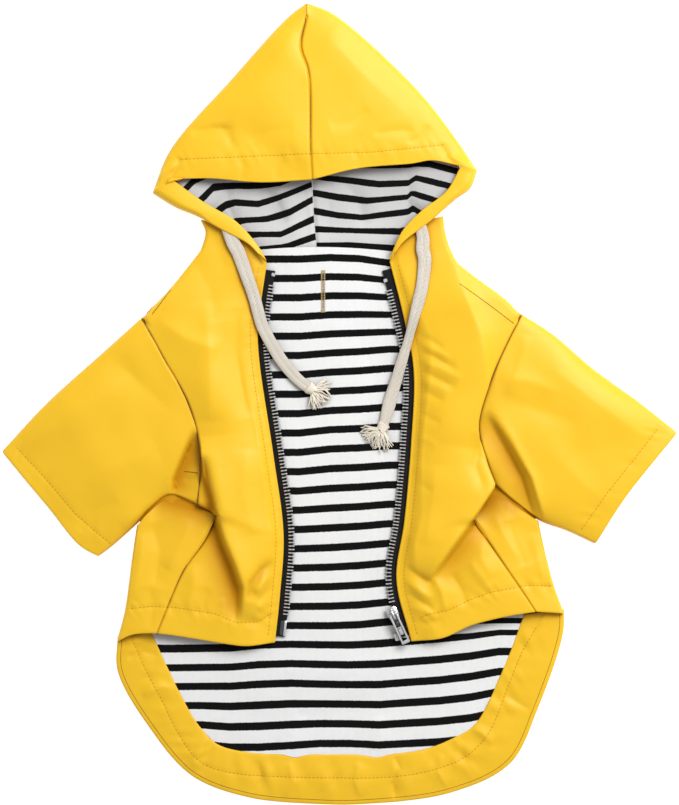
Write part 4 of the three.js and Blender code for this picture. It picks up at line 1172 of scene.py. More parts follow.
BODY_STRIPES = {
    0: ((-26, 93.6), (-6, 94.6), (13, 93.9), (32, 91)),
    5: ((-26, 30.9), (-6, 32.5), (13, 33.5), (32, 35.1)),
    10: ((-26, -32.2), (-6, -29.9), (13, -29.2), (32, -27.9)),
    15: ((-26, -94.9), (-6, -94.2), (13, -93), (32, -91.3)),
    19: ((-26, -145), (-6, -145), (13, -144.3), (32, -142.3)),
    20: (
        (-107, -160.2), (-71, -159.6), (-52, -157.6), (-32, -157), (-13, -157.3), (7, -157.6),
        (26, -156.7), (46, -155), (65, -153.4), (85, -151.5), (104, -148.8),
    ),
    22: (
        (-107, -184.6), (-71, -184.3), (-52, -183), (-32, -182.3), (-13, -183), (7, -183.3),
        (26, -183.3), (46, -181.7), (65, -180.4), (85, -178.1), (104, -174.8),
    ),
    25: (
        (-91, -222), (-71, -224.2), (-52, -224.2), (-32, -223), (-13, -221.7), (7, -221.7),
        (26, -222.6), (46, -221.7), (65, -220.7), (85, -218.5), (104, -214),
    ),
}
HOOD_STRIPES = {
    "left": {
        -1: ((-110.2, 128.7), (-101.7, 137.6), (-94.2, 145.8), (-71.2, 152.8), (-18.5, 152.8)),
        0: ((-97.2, 124.2), (-90.5, 131.6), (-82.2, 141.3), (-59.1, 141.3), (-38.2, 142.8), (-18.5, 151.5)),
        1: (
            (-86.1, 117), (-79.2, 124.9), (-74, 129.3), (-67.9, 130.7), (-53, 129.3), (-38.2, 134.6),
            (-18.9, 142.1), (-15.3, 143.7),
        ),
        2: ((-76.4, 111.2), (-67.9, 118.2), (-47.1, 119.7), (-32.2, 124.2), (-15.9, 133.9)),
        3: ((-67.9, 102), (-60.8, 110), (-38.2, 109.2), (-26.3, 115.2), (-15.1, 120.4)),
        4: ((-59.5, 94.2), (-51.7, 100.3), (-33.7, 102.5), (-13.6, 109.2)),
    },
    "right": {
        -1: ((-15.9, 154.7), (58, 155.5), (79.6, 149.5)),
        0: (
            (-15.9, 147.6), (-8.4, 146.6), (6.6, 145.1), (25.9, 142.1), (45.2, 142.8), (49.8, 146.6),
            (73.7, 140.3),
        ),
        1: ((-15.9, 136.8), (-1, 133.9), (18.5, 131.6), (44.5, 134.2), (46.5, 136.8), (64.7, 130.5)),
        2: (
            (-15.9, 124.9), (-1, 121.9), (14, 120.4), (28.9, 122.7), (45.2, 124.9), (47.8, 127.1),
            (53, 123.4),
        ),
        3: ((-14.4, 113), (6.6, 112.3), (39.3, 111.5), (49.1, 113.8)),
        4: ((-13.6, 102.5), (6.6, 103), (33.4, 101)),
    },
}


def stripe_count(lines, x, y):
    """How many stripes down the cloth each plan point is, by the stripes whose middle lines are given."""
    numbers = sorted(lines)
    middles = [np.interp(x, *zip(*lines[number])) for number in numbers]
    count = numbers[0] + (middles[0] - y) / 12.6
    for low, high, upper, lower in zip(numbers[:-1], numbers[1:], middles[:-1], middles[1:]):
        share = (upper - y) / np.maximum(upper - lower, 1)
        count = np.where(y < upper, low + share * (high - low), count)
    return np.where(y < middles[-1], numbers[-1] + (middles[-1] - y) / 12.6, count)


def tail_bulge(x):
    """How far the lining billows over the facing's inner edge at the tail, for a place across."""
    return 1.9 * np.exp(-(((x + 29) / 6) ** 2)) + 1.6 * np.exp(-(((x - 24) / 7) ** 2))


def make_back_lining(shell):
    """The striped lining of the back, neck to tail."""
    inner = FACING_INNER
    inset = beside(inner, 0.6)
    left_side = Edge(
        (-70, 97), (-92, 66), (-106, 48), (-94, 14), (-82, -14), (-78, -48), (-96, -82),
        (-116, -104), (-122, -146.5),
    )
    right_side = Edge(
        (55, 97), (74, 68), (96, 48), (90, 16), (78, -14), (80, -48), (92, -80), (114, -104),
        (119.6, -136.6),
    )
    left = chain((left_side, 0.5), (stretch(inset, 0, 0.44), 0.5))
    right = chain((right_side, 0.5), (stretch(inset, 1, 0.56), 0.5))
    share = np.linspace(0, 1, 240)
    across = np.linspace(0, 1, 130)[None, :, None]
    plan = left(share)[:, None] * (1 - across) + right(share)[:, None] * across
    x, y = plan[..., 0], plan[..., 1]
    folds = (
        (((-60, -170), (-20, -176), (30, -172), (80, -166)), 0.7, 10, 12),
        (((-90, -196), (-40, -206), (20, -200), (84, -198)), -0.5, 9, 9),
        (((-34, -225), (-30, -214), (-24, -204)), 0.6, 5, 5),
        (((22, -226), (26, -214), (24, -204)), 0.6, 5, 5),
        (((-36, 84), (-12, 76), (20, 82)), 0.5, 8, 8),
    )
    y += 4.5 * (1 - ((x + 14) / 60) ** 2) * np.clip((y - 70) / 27, 0, 1)
    y -= tail_bulge(x) * np.clip((-215 - y) / 12, 0, 1)
    z = LINING_LAYER + fold_height(folds, x, y) + ripple(x, y, 0.13, 0.7) + 0.5 * np.clip((y - 80) / 12, 0, 1)
    grid = np.concatenate([plan, z[..., None]], -1)
    chart = np.stack([x, stripe_count(BODY_STRIPES, x, y)], -1)
    piece = cloth("back_lining", grid, shell.wall / MM, materials["striped jersey"], chart=chart)
    hand_over(piece, ["back_lining"])


def make_hood_lining(shell):
    """The striped lining of the hood, which lies on its lower layer."""
    folds = {
        "left": (
            (((-72, 146), (-73, 130), (-66, 114)), -1.0, 4, 3),
            (((-50, 142), (-40, 130), (-34, 116)), -1.8, 4, 7),
            (((-112, 142), (-98, 136), (-84, 124)), 3.6, 12, 8),
            (((-40, 148), (-36, 128), (-28, 108)), 0.8, 7, 7),
            (((-24, 150), (-22, 128), (-20, 106)), -0.5, 5, 4),
        ),
        "right": (
            (((44, 152), (46, 136), (42, 112)), -1.0, 3, 4),
            (((2, 146), (12, 132), (18, 114)), -1.8, 7, 4),
            (((80, 148), (66, 138), (52, 124)), 3.6, 8, 12),
            (((6, 150), (10, 128), (12, 106)), 0.7, 7, 7),
            (((-8, 148), (-7, 126), (-8, 104)), -0.5, 4, 5),
        ),
    }
    for side, hood in HOODS.items():
        flip = side == "left"
        share = np.linspace(0, 1, 150)
        across = np.linspace(0, 1, 90)[None, :, None]
        centre = HOOD_CENTRE(share) + np.array([hood["shift"], 0])
        plan = hood["under"](share)[:, None] * (1 - across) + centre[:, None] * across
        plan[..., 1] -= 2.5 * share[:, None] ** 6
        x, y = plan[..., 0], plan[..., 1]
        seam = 0.9 * np.exp(-((1 - across[..., 0]) * 80 / 1.4) ** 2)
        tucked = 0.7 * np.clip((106 - y) / 5, 0, 1)
        z = LINING_LAYER + fold_height(folds[side], x, y) + ripple(x, y, 0.12, 3.0) - seam - tucked
        grid = np.concatenate([plan, z[..., None]], -1)
        chart = np.stack([x, stripe_count(HOOD_STRIPES[side], x, y)], -1)
        # Painted shade, darker towards the brim under the hood's upper layer and in the larger folds.
        shaded = 0.62 + 0.38 * np.clip((y - 112) / 34, 0, 1) + 0.3 * hollows(folds[side], grid, 1.6)
        piece = cloth(
            f"hood_lining_{side}", grid, shell.wall / MM, materials["striped jersey"], flip=not flip,
            chart=chart, painted_shade=np.clip(shaded, 0, 1),
        )
        hand_over(piece, [f"hood_lining_{side}"])


def make_facing(shell):
    """Curved strip inside the tail edge, turned at both edges and stitched down."""
    share = np.linspace(0, 1, 420)
    across = np.linspace(0, 1, 24)[None, :, None]
    plan = FACING_OUTER(share)[:, None] * (1 - across) + FACING_INNER(share)[:, None] * across
    x, y = plan[..., 0], plan[..., 1]
    y -= tail_bulge(x) * across[..., 0] ** 4
    belly = 0.7 * np.sin(np.pi * across[..., 0])
    stitch_line = sampled(Edge(*FACING_STITCH), 60)
    gathers = pucker([stitch_line], x, y, 0.62, 12, 0.5, pace=3.1, groove=0.15)
    gathers += pucker([stitch_line], x, y, 0.32, 9, -0.7, pace=1.9, groove=0.1)
    gathers += fold_height(
        (
            (((36, -258), (35, -248), (39, -238), (36, -230)), -1.6, 1.4, 3.5),
            (((14, -256), (10, -246), (13, -234)), 0.9, 2, 5),
            (((-34, -257), (-30, -246), (-33, -233)), 0.9, 4, 2),
            (((-128, -190), (-116, -184), (-108, -186)), 0.9, 2, 4),
            (((-138, -166), (-128, -162), (-118, -164)), -0.9, 3, 2),
            (((124, -200), (114, -194), (106, -190)), -0.9, 2, 4),
            (((70, -250), (64, -240), (66, -228)), 0.9, 2, 4),
            (((-96, -236), (-90, -224), (-84, -216)), 0.9, 3, 3),
            (((-58, -254), (-50, -244), (-54, -232)), -0.8, 3, 3),
            (((100, -222), (92, -214), (86, -212)), 0.9, 3, 3),
        ),
        x, y,
    )
    z = LINING_LAYER + 0.5 + belly + ripple(x, y, 0.12, 5.0) + gathers
    grid = np.concatenate([plan, z[..., None]], -1)
    grid = hem(grid, 5, flip=True)
    grid = hem(grid[:, ::-1], 1.0, radius=0.8, flip=False)[:, ::-1]
    piece = cloth("tail_facing", grid, shell.wall / MM, materials["yellow coated cloth"], flip=True)
    hand_over(piece, ["tail_facing"])


# Zip

TAPE = {"hidden": 6, "shown": 4.5, "wall": 0.7}
TEETH = {"left": (0.055, 0.93), "right": (0.07, 0.895)}
ZIP_EDGES = {"left": LEFT_ZIP_EDGE, "right": RIGHT_ZIP_EDGE}


def make_zip_tapes(zipper):
    """The two woven tapes along the fronts."""
    for side, edge in ZIP_EDGES.items():
        sign = 1 if side == "left" else -1
        run = stretch(edge, 0.02, 0.985)
        share = np.linspace(0, 1, 220)
        offsets = np.linspace(-TAPE["hidden"], TAPE["shown"] + 2.2, 16)
        lines = [beside(run, sign * offset)(share) for offset in offsets]
        plan = np.stack(lines, 1)
        crown = 0.14 * np.sin(np.linspace(0, 3 * np.pi, 16))[None, :] * np.ones((220, 1))
        wave = 0.12 * np.sin(share * 60)[:, None] * np.ones((1, 16))
        grid = np.concatenate([plan, (TAPE_LAYER + crown + wave)[..., None]], -1)
        chart = np.stack(np.broadcast_arrays(offsets[None, :], (share * edge.length)[:, None]), -1)
        piece = cloth(
            f"zip_tape_{side}", grid, TAPE["wall"], materials["zip tape weave"], flip=side == "right",
            chart=chart,
        )
        hand_over(piece, [f"zip_tape_{side}"])


def tooth_points():
    """One tooth: a short bar that narrows to a rounded head, its foot clamped round the tape's edge."""
    outline = (
        (-0.9, 0.5), (0.3, 0.5), (0.9, 0.38), (1.9, 0.38), (2.2, 0.56), (2.75, 0.5), (3.0, 0.25),
    )
    ring = [(x, y) for x, y in outline] + [(x, -y) for x, y in reversed(outline)]
    points = []
    for level, inset in ((0.0, 0.78), (0.35, 1.0), (1.55, 1.0), (2.0, 0.72)):
        points += [(1.05 + (x - 1.05) * inset, y * inset, level) for x, y in ring]
    return np.array(points), len(ring)


def make_zip_teeth(zipper):
    """Single teeth along both tapes."""
    template, sides = tooth_points()
    for side, edge in ZIP_EDGES.items():
        sign = 1 if side == "left" else -1
        start, end = TEETH[side]
        length = edge.length * (end - start)
        count = round(length / (zipper.pitch / MM))
        share = start + (end - start) * (np.arange(count) + 0.5) / count
        foot = beside(edge, sign * (TAPE["shown"] + 0.35))(share)
        head = beside(edge, sign * (TAPE["shown"] + 1.35))(share)
        out = unit(head - foot)
        points, faces = [], []
        for place, run in zip(foot, out):
            base = len(points)
            turned = np.stack(
                [
                    place[0] + run[0] * template[:, 0] - run[1] * template[:, 1],
                    place[1] + run[1] * template[:, 0] + run[0] * template[:, 1],
                    template[:, 2] + TAPE_LAYER - 0.55,
                ],
                -1,
            )
            points.extend(turned.tolist())
            levels = len(template) // sides
            for level in range(levels - 1):
                for k in range(sides):
                    a, b = base + level * sides + k, base + level * sides + (k + 1) % sides
                    faces.append((a, a + sides, b + sides, b))
            faces.append([base + k for k in range(sides)])
            faces.append([base + (levels - 1) * sides + k for k in reversed(range(sides))])
        piece = mesh_object(f"zip_teeth_{side}", points, faces, materials["zip metal"], crease=35)
        hand_over(piece, [f"zip_teeth_{side}"])


def prism(outline, levels):
    """A solid of one plan outline through rising levels of (height, size)."""
    points, faces = [], []
    sides = len(outline)
    for height, size in levels:
        points += [(x * size, y * size, height) for x, y in outline]
    for level in range(len(levels) - 1):
        for k in range(sides):
            a, b = level * sides + k, level * sides + (k + 1) % sides
            faces.append((a, b, b + sides, a + sides))
    faces.append(list(reversed(range(sides))))
    faces.append([(len(levels) - 1) * sides + k for k in range(sides)])
    return np.array(points, float), faces


def rounded(width, length, corner, steps=4):
    """A rectangle's outline with round corners, anticlockwise."""
    points = []
    for cx, cy, start in ((1, 1, 0), (-1, 1, 90), (-1, -1, 180), (1, -1, 270)):
        for k in range(steps + 1):
            angle = math.radians(start + 90 * k / steps)
            points.append(
                (
                    cx * (width / 2 - corner) + corner * math.cos(angle),
                    cy * (length / 2 - corner) + corner * math.sin(angle),
                )
            )
    return points


def set_down(points, at, degrees):
    """Puts points made about the origin, +Y down the zip, in their place on it."""
    angle = math.radians(180 + degrees)
    points = np.asarray(points, float)
    x = points[:, 0] * math.cos(angle) - points[:, 1] * math.sin(angle) + at[0]
    y = points[:, 0] * math.sin(angle) + points[:, 1] * math.cos(angle) + at[1]
    return np.stack([x, y, points[:, 2] + at[2]], -1)


def joined(parts):
    """Points and faces of several parts as one."""
    points, faces = [], []
    for some, made in parts:
        base = len(points)
        points.extend(np.asarray(some).tolist())
        faces.extend([[base + k for k in face] for face in made])
    return np.array(points), faces


SLIDER = {"x": 34.8, "y": -137.2, "z": 4.3, "turn": 24.8}


def soft_block(width, length, thick):
    """A block with rounded corners and eased edges."""
    return prism(
        rounded(width, length, min(width, length) * 0.28),
        ((0, 0.9), (thick * 0.18, 1), (thick * 0.82, 1), (thick, 0.86)),
    )


def make_zip_ends(zipper):
    """Top stops, the pin with its stiff film, and the box."""
    foot = TAPE_LAYER - 0.5
    for side, x, y, turn in (("left", -43, 83.4, -10), ("right", 29.9, 79.6, 14)):
        points, faces = soft_block(2.6, 2.4, 2.0)
        points = set_down(points, (x, y, foot), turn)
        piece = mesh_object(f"zip_stop_{side}", points, faces, materials["zip metal"], crease=35)
        hand_over(piece, [f"zip_stop_{side}"])
    for name, (points, faces), shift, finish, slot in (
        ("zip_pin", soft_block(1.6, 10, 2.2), 0, "zip metal", "zip_metal"),
        ("zip_pin_film", soft_block(3.6, 9.4, 1.3), 1.4, "stiff tape film", "zip_film"),
    ):
        points = set_down(points + np.array([shift, 0, 0]), (-35.4, -146.6, foot), -6)
        piece = mesh_object(name, points, faces, materials[finish], crease=35)
        hand_over(piece, ["zip_pin"])
    box, rib = soft_block(4.6, 5, 3.0), soft_block(1.2, 3.6, 0.5)
    points, faces = joined([box, (rib[0] + np.array([0, 0, 2.9]), rib[1])])
    points = set_down(points, (37.9, -152, foot), 14)
    piece = mesh_object("zip_box", points, faces, materials["zip metal"], crease=35)
    hand_over(piece, ["zip_box"])


def make_slider(zipper):
    """Slider body with its flanges and arch."""
    outline = (
        (-2.7, 4.7), (-3.7, 0.4), (-3.7, -3.4), (-2.6, -4.7), (2.6, -4.7), (3.7, -3.4), (3.7, 0.4),
        (2.7, 4.7),
    )
    plate = prism(outline, ((0, 0.94), (0.3, 1), (0.8, 1), (1.0, 0.94)))
    crown = prism(outline, ((1.2, 0.9), (1.5, 1.0), (1.9, 0.98), (2.2, 0.86)))
    neck = prism(rounded(3.0, 7.0, 0.8), ((0.8, 1), (1.4, 1)))
    bow = ((-3.4, 1.9), (-3.2, 3.4), (-2.3, 4.8), (0, 5.3), (2.3, 4.8), (3.2, 3.4), (3.4, 1.9))
    path = [(0, y, z) for y, z in bow]
    line = Edge(*path)(np.linspace(0, 1, 22))
    rings = tube(line, 0.8, 10, up=(1, 0, 0), flat=0.72)
    arch = (rings.reshape(-1, 3), tube_faces(22, 10))
    points, faces = joined([plate, crown, neck, arch])
    piece = mesh_object(
        "zip_slider", set_down(points, (SLIDER["x"], SLIDER["y"], SLIDER["z"]), SLIDER["turn"]), faces,
        materials["zip metal"], crease=35,
    )
    hand_over(piece, ["zip_slider"])


def make_pull_tab(zipper):
    """Pull tab: two raised rails, a cross bar through the arch and a slotted tip."""
    def beam(width, length, low, high, x, y):
        outline = rounded(width, length, min(width, length) * 0.3)
        levels = ((low, 0.94), (low + 0.15, 1), (high - 0.15, 1), (high, 0.9))
        points, faces = prism(outline, levels)
        return points + np.array([x, y, 0]), faces

    bright = [
        beam(5.6, 1.2, -0.6, 0.6, 0, 0),
        beam(1.2, 20.6, -0.6, 0.7, -2.2, 10.1),
        beam(1.2, 20.6, -0.6, 0.7, 2.2, 10.1),
        beam(2.8, 4.6, -0.3, 0.15, 0, 12.2),
        beam(5.4, 2.2, -0.6, 0.6, 0, 19.5),
        beam(3.4, 0.7, -0.45, 0.55, 0, 9.4),
    ]
    # The recessed field between the rails is coloured with a dark copy of the metal: painted shade.
    dark = [beam(3.6, 4.6, -0.5, -0.1, 0, 7.2)]
    place = (SLIDER["x"], SLIDER["y"], SLIDER["z"] + 2.2 + 1.2)
    for name, bars, finish in (
        ("zip_pull_tab", bright, "zip metal"), ("zip_pull_tab_recess", dark, "painted shade zip metal")
    ):
        points, faces = joined(bars)
        points = set_down(points, place, SLIDER["turn"])
        piece = mesh_object(name, points, faces, materials[finish], crease=35)
        hand_over(piece, ["zip_pull_tab"], body="pull_tab")


# Drawstring

CORD_ROUTES = {
    "left": (
        (-68.5, 103, 9.1), (-66, 98.5, 9.1), (-63.8, 93, 9.1), (-59.4, 80.5, 9.1), (-55.1, 67.8, 8.6),
        (-52.8, 59, 8.0), (-50.6, 51.4, 7.5), (-47, 43.5, 7.0), (-43.1, 36.5, 6.6), (-38.8, 29.4, 5.6),
        (-34.1, 23, 4.5), (-28.9, 17.2, 4.2), (-23.7, 12.5, 4.2), (-19.8, 9.7, 4.2),
    ),
    "right": (
        (54.2, 106.5, 9.1), (54, 100, 9.1), (55.2, 94, 9.2), (54.6, 83.6, 9.5), (53.4, 75, 9.9),
        (51.5, 67, 10.1), (49, 57.5, 9.8), (46.6, 48.4, 8.6), (43.8, 38, 7.6), (40.6, 27.5, 6.7),
        (37.4, 16.5, 5.2), (33.9, 5.1, 4.3), (31.4, -4.5, 4.2), (28.6, -14.5, 4.2),
    ),
}
CORD_LEADS = {
    "left": ((-72.6, 114.5, 9.7), (-70.6, 108.6, 9.4)),
    "right": ((52.2, 115.5, 9.7), (53.4, 111, 9.4)),
}
CORD_WIDTHS = {
    "left": ((0, 1.1), (0.15, 1.12), (0.4, 1.0), (0.8, 1.0), (1, 0.9)),
    "right": ((0, 0.95), (0.12, 1.1), (0.35, 1.0), (0.55, 0.72), (0.72, 0.9), (0.9, 1.05), (1, 0.8)),
}
CORD_KNOTS = {
    "left": {"x": -19.8, "y": 9.7, "heading": -30, "seed": 3, "strands": 44, "reach": 12},
    "right": {"x": 28.6, "y": -14.5, "heading": -118, "seed": 8, "strands": 56, "reach": 13},
}


def make_drawstring(side, cord):
    """One visible end of the flat braid, from the casing to its frayed knot."""
    line = Edge(*CORD_LEADS[side], *CORD_ROUTES[side])
    rings, sides = 170, 36
    share = np.linspace(0, 1, rings)
    widths = graded(CORD_WIDTHS[side], share) * cord.width / MM / 2
    points = tube(line(share), widths, sides, flat=1.0)
    centre = line(share)[:, None]
    offset = points - centre
    angle = np.linspace(0, 2 * np.pi, sides, endpoint=False)
    thick = cord.thick / MM / 2 * (1 + 0.3 * (1 - graded(CORD_WIDTHS[side], share)))[:, None]
    groove = 1 - 0.28 * np.exp(-((np.cos(angle) / 0.22) ** 2))[None, :]
    offset[..., 2] = 0
    wave = 0.18 * np.sin(share * 37 + 1)[:, None] * np.cos(angle)[None, :]
    points = centre + offset
    points[..., 2] += thick * np.sign(np.sin(angle)) * np.abs(np.sin(angle)) ** 0.8 * groove + wave
    round_it, down_it = (np.arange(sides) / sides)[None, :], (share * line.length)[:, None]
    chart = np.stack(np.broadcast_arrays(round_it, down_it), -1)
    piece = mesh_object(
        f"drawstring_{side}", points.reshape(-1, 3), tube_faces(rings, sides), materials["cotton braid"],
        chart=chart.reshape(-1, 2), crease=70,
    )
    hand_over(piece, [f"drawstring_{side}"])
    tuft = make_frayed_end(side, cord)
    path = [tuple(point * MM) for point in line(np.linspace(0, 1, 40))]


def make_frayed_end(side, cord):
    """The knotted tip: yarn wound round the end, and strands that splay out of it."""
    knot = CORD_KNOTS[side]
    random = np.random.default_rng(knot["seed"])
    heading = math.radians(knot["heading"])
    ahead = np.array([math.cos(heading), math.sin(heading), 0])
    left = np.array([-ahead[1], ahead[0], 0])
    up = np.array([0, 0, 1.0])
    origin = np.array([knot["x"], knot["y"], 4.6]) - ahead * 1.0
    points, faces = [], []

    def add(rings, count, sides):
        faces.extend(tube_faces(count, sides, len(points)))
        points.extend(rings.reshape(-1, 3).tolist())

    for wrap in range(5):
        angle = np.linspace(0.15 * wrap, 2 * np.pi + 0.9 + 0.15 * wrap, 26)
        spin = np.linspace(0, 1.5, 26)
        place = 0.4 + wrap * 1.0
        ring = (
            origin
            + ahead * (place + spin[:, None] * 0.5 + 0.4 * np.sin(angle * 2)[:, None])
            + left * (np.cos(angle) * (3.5 - 0.25 * wrap))[:, None]
            + up * (np.sin(angle) * 1.7)[:, None]
        )
        add(tube(ring, 0.62, 6, up=ahead), 26, 6)
    for _ in range(knot["strands"]):
        fan = random.uniform(-1, 1)
        tilt = fan * 1.15 + random.normal(0, 0.12)
        reach = knot["reach"] * (1 - 0.25 * abs(fan)) * random.uniform(0.75, 1.15)
        share = np.linspace(0, 1, 12)[:, None]
        run = ahead * math.cos(tilt) + left * math.sin(tilt)
        bow = left * random.normal(0, 1.6) * np.sin(np.pi * share)
        curl = left * random.normal(0, 1.2) * share**3
        arch = 1.6 * np.sin(np.pi * share) * random.uniform(0.2, 1.0)
        lift = up * (arch - 1.2 * share + random.uniform(-0.5, 0.9))
        wiggle = left * 0.35 * np.sin(share * random.uniform(8, 14) + random.uniform(0, 6))
        root = origin + ahead * 4.2 + left * fan * 2.4
        strand = root + run * reach * share + bow + curl + lift + wiggle * share
        strand[:, 2] = np.maximum(strand[:, 2], 3.3)
        radius = np.linspace(0.5, 0.34, 12)
        add(tube(strand, radius, 4, phase=random.uniform(0, 1)), 12, 4)
    piece = mesh_object(f"drawstring_knot_{side}", points, faces, materials["cotton yarn"], crease=80)
    return hand_over(piece, [f"drawstring_knot_{side}"])


# Sewing


def make_stitching(shell):
    """Topstitching of the hems, cuffs, brim, zip edges and facing."""
    hems = ["front_left", "front_right", "side_wrap_left", "side_wrap_right"]
    rows = (
        ("brim_stitches", ["hood_left", "hood_right"], [BRIM_STITCH]),
        ("cuff_stitches", ["sleeve_left", "sleeve_right"], CUFF_STITCH.values()),
        ("hem_stitches", hems, HEM_STITCH.values()),
        ("zip_stitches", ["front_left", "front_right"], ZIP_STITCH.values()),
        ("facing_stitches", ["tail_facing"], [sampled(Edge(*FACING_STITCH), 120)]),
    )
    for name, on, lines in rows:
        pairs = [pair for line in lines for pair in stitches(line)]
        piece = thread(name, on, pairs, materials["yellow thread"])
        hand_over(piece, [])


SHOULDER_SEAMS = (
    ("front_left", ((-109.5, 73.5), (-115, 66), (-121.5, 57.5))),
    ("front_right", ((77.7, 77.3), (95, 65), (113, 51.5))),
    ("sleeve_left", ((-101, -44.5), (-96, -45), (-91.8, -45.5))),
)


def make_seam_lines(shell):
    """Painted seam shade: dark lines for the shade in the ditch of a seam within a piece and along the fold
    near the facing's outer edge, and a dark filler for the shade deep in a seam between two pieces.
    """
    sides = 6
    points, faces = [], []

    def lay(line, radius):
        rings = tube(line, radius, sides)
        faces.extend(tube_faces(len(line), sides, len(points)))
        points.extend(rings.reshape(-1, 3).tolist())

    for name, line in SHOULDER_SEAMS:
        spots = [down_on([name], x, y) for x, y in sampled(Edge(*line), 40)]
        lay([tuple(spot[0]) for spot in spots if spot], 0.2)
    edge_row = sampled(beside(stretch(FACING_OUTER, 0.006, 0.994), 1.9), 260)
    spots = [down_on(["tail_facing"], x, y) for x, y in edge_row]
    lay([tuple(spot[0]) for spot in spots if spot], 0.13)
    fills = (
        ("front_left", LEFT_ARMHOLE, 1.4, 0.1),
        ("front_right", RIGHT_ARMHOLE, -1.4, -0.1),
        ("front_left", LEFT_SIDE_SEAM, 1.4, 0.1),
        ("front_right", RIGHT_SIDE_SEAM, -1.4, -0.1),
        ("hood_right", stretch(HOODS["right"]["seam"], 0.01, 1), 1.4, 0.2),
    )
    for name, line, beyond, shift in fills:
        spots = []
        for x, y in sampled(line, 90):
            spot = down_on([name], x + beyond, y)
            if spot:
                spots.append((x - shift, y, spot[0].z - 1.3))
        lay(spots, 0.35)
    piece = mesh_object("seam_lines", points, faces, materials["painted seam shade"])
    hand_over(piece, [])


def make_leash_buttonhole():
    """Buttonhole for the leash: close cross stitches down both sides and a bar at each end."""
    middle, top, bottom = -10.7, 84.6, 60.5
    pairs = []
    for y in np.arange(bottom, top, 0.75):
        for sign in (-1, 1):
            slant = 0.18 * math.sin(y * 5)
            pairs.append(((middle + sign * 0.4, y + slant), (middle + sign * 1.45, y)))
    for y in (bottom - 0.2, bottom - 0.8, bottom - 1.4, top + 0.2, top + 0.8, top + 1.4):
        pairs.append(((middle - 1.6, y), (middle + 1.6, y + 0.2)))
    piece = thread(
        "leash_buttonhole_stitches", ["back_lining"], pairs, materials["gold thread"], radius=0.28,
        proud=0.2,
    )
    hand_over(piece, [])
    # Painted shade: the slit is a row of short dark marks that stand in for the shade in the cut.
    cut = [((middle, y), (middle, y + 1.4)) for y in np.arange(bottom + 0.6, top - 1.6, 1.2)]
    slit = thread(
        "leash_buttonhole_slit", ["back_lining"], cut, materials["painted seam shade"], radius=0.32, proud=0.05,
    )
    hand_over(slit, [])


# Settings, operators and panel


class ShellSettings(bpy.types.PropertyGroup):
    wall: bpy.props.FloatProperty(
        name="Cloth wall", description="Thickness of one layer of cloth",
        default=0.0007, min=0.0003, unit="LENGTH",
    )
    colour: bpy.props.FloatVectorProperty(
        name="Coated cloth", description="Colour of the coated shell",
        subtype="COLOR", default=(0.95, 0.575, 0.022),
    )
    # Colour of the shade painted into the shell's folds and recesses.
    painted_shade: bpy.props.FloatVectorProperty(
        name="Hollows", description="Colour of the shell deep in its folds",
        subtype="COLOR", default=(0.48, 0.17, 0.002),
    )
    # Deeper orange than the cloth: the thread's own colour with the shade of the stitch holes painted into
    # it.
    thread: bpy.props.FloatVectorProperty(
        name="Thread", description="Colour of the topstitching",
        subtype="COLOR", default=(0.70, 0.36, 0.01),
    )


class JerseySettings(bpy.types.PropertyGroup):
    white: bpy.props.FloatVectorProperty(
        name="Ground", description="Colour of the knit between the stripes",
        subtype="COLOR", default=(0.93, 0.93, 0.925),
    )
    black: bpy.props.FloatVectorProperty(
        name="Stripe", description="Colour of the stripes",
        subtype="COLOR", default=(0.004, 0.004, 0.0045),
    )
    share: bpy.props.FloatProperty(
        name="Stripe share", description="Share of the repeat that is stripe",
        default=0.385, subtype="FACTOR", min=0, max=1,
    )


class ZipSettings(bpy.types.PropertyGroup):
    pitch: bpy.props.FloatProperty(
        name="Tooth pitch", description="Distance from tooth to tooth",
        default=0.0022, unit="LENGTH",
    )
    tape: bpy.props.FloatVectorProperty(
        name="Tape", description="Colour of the woven tape",
        subtype="COLOR", default=(0.006, 0.006, 0.0075),
    )
    metal: bpy.props.FloatVectorProperty(
        name="Metal", description="Colour of teeth and slider",
        subtype="COLOR", default=(0.95, 0.95, 0.96),
    )
    film: bpy.props.FloatVectorProperty(
        name="Film", description="Colour of the stiff film at the pin",
        subtype="COLOR", default=(0.03, 0.033, 0.04),
    )


class CordSettings(bpy.types.PropertyGroup):
    width: bpy.props.FloatProperty(
        name="Width", description="Width of the flat braid",
        default=0.008, unit="LENGTH",
    )
    thick: bpy.props.FloatProperty(
        name="Thickness", description="Thickness of the flat braid",
        default=0.0024, unit="LENGTH",
    )
    colour: bpy.props.FloatVectorProperty(
        name="Cotton", description="Colour of the drawstring",
        subtype="COLOR", default=(0.93, 0.87, 0.77),
    )


class StageSettings(bpy.types.PropertyGroup):
    focal: bpy.props.FloatProperty(
        name="Focal length", description="Camera lens in millimetres",
        default=120,
    )
    floor: bpy.props.FloatVectorProperty(
        name="Floor", description="Colour of the table",
        subtype="COLOR", default=(0.9, 0.9, 0.9),
    )
    key_light: bpy.props.FloatProperty(
        name="Key light", description="Power of the large soft light",
        default=33, unit="POWER",
    )


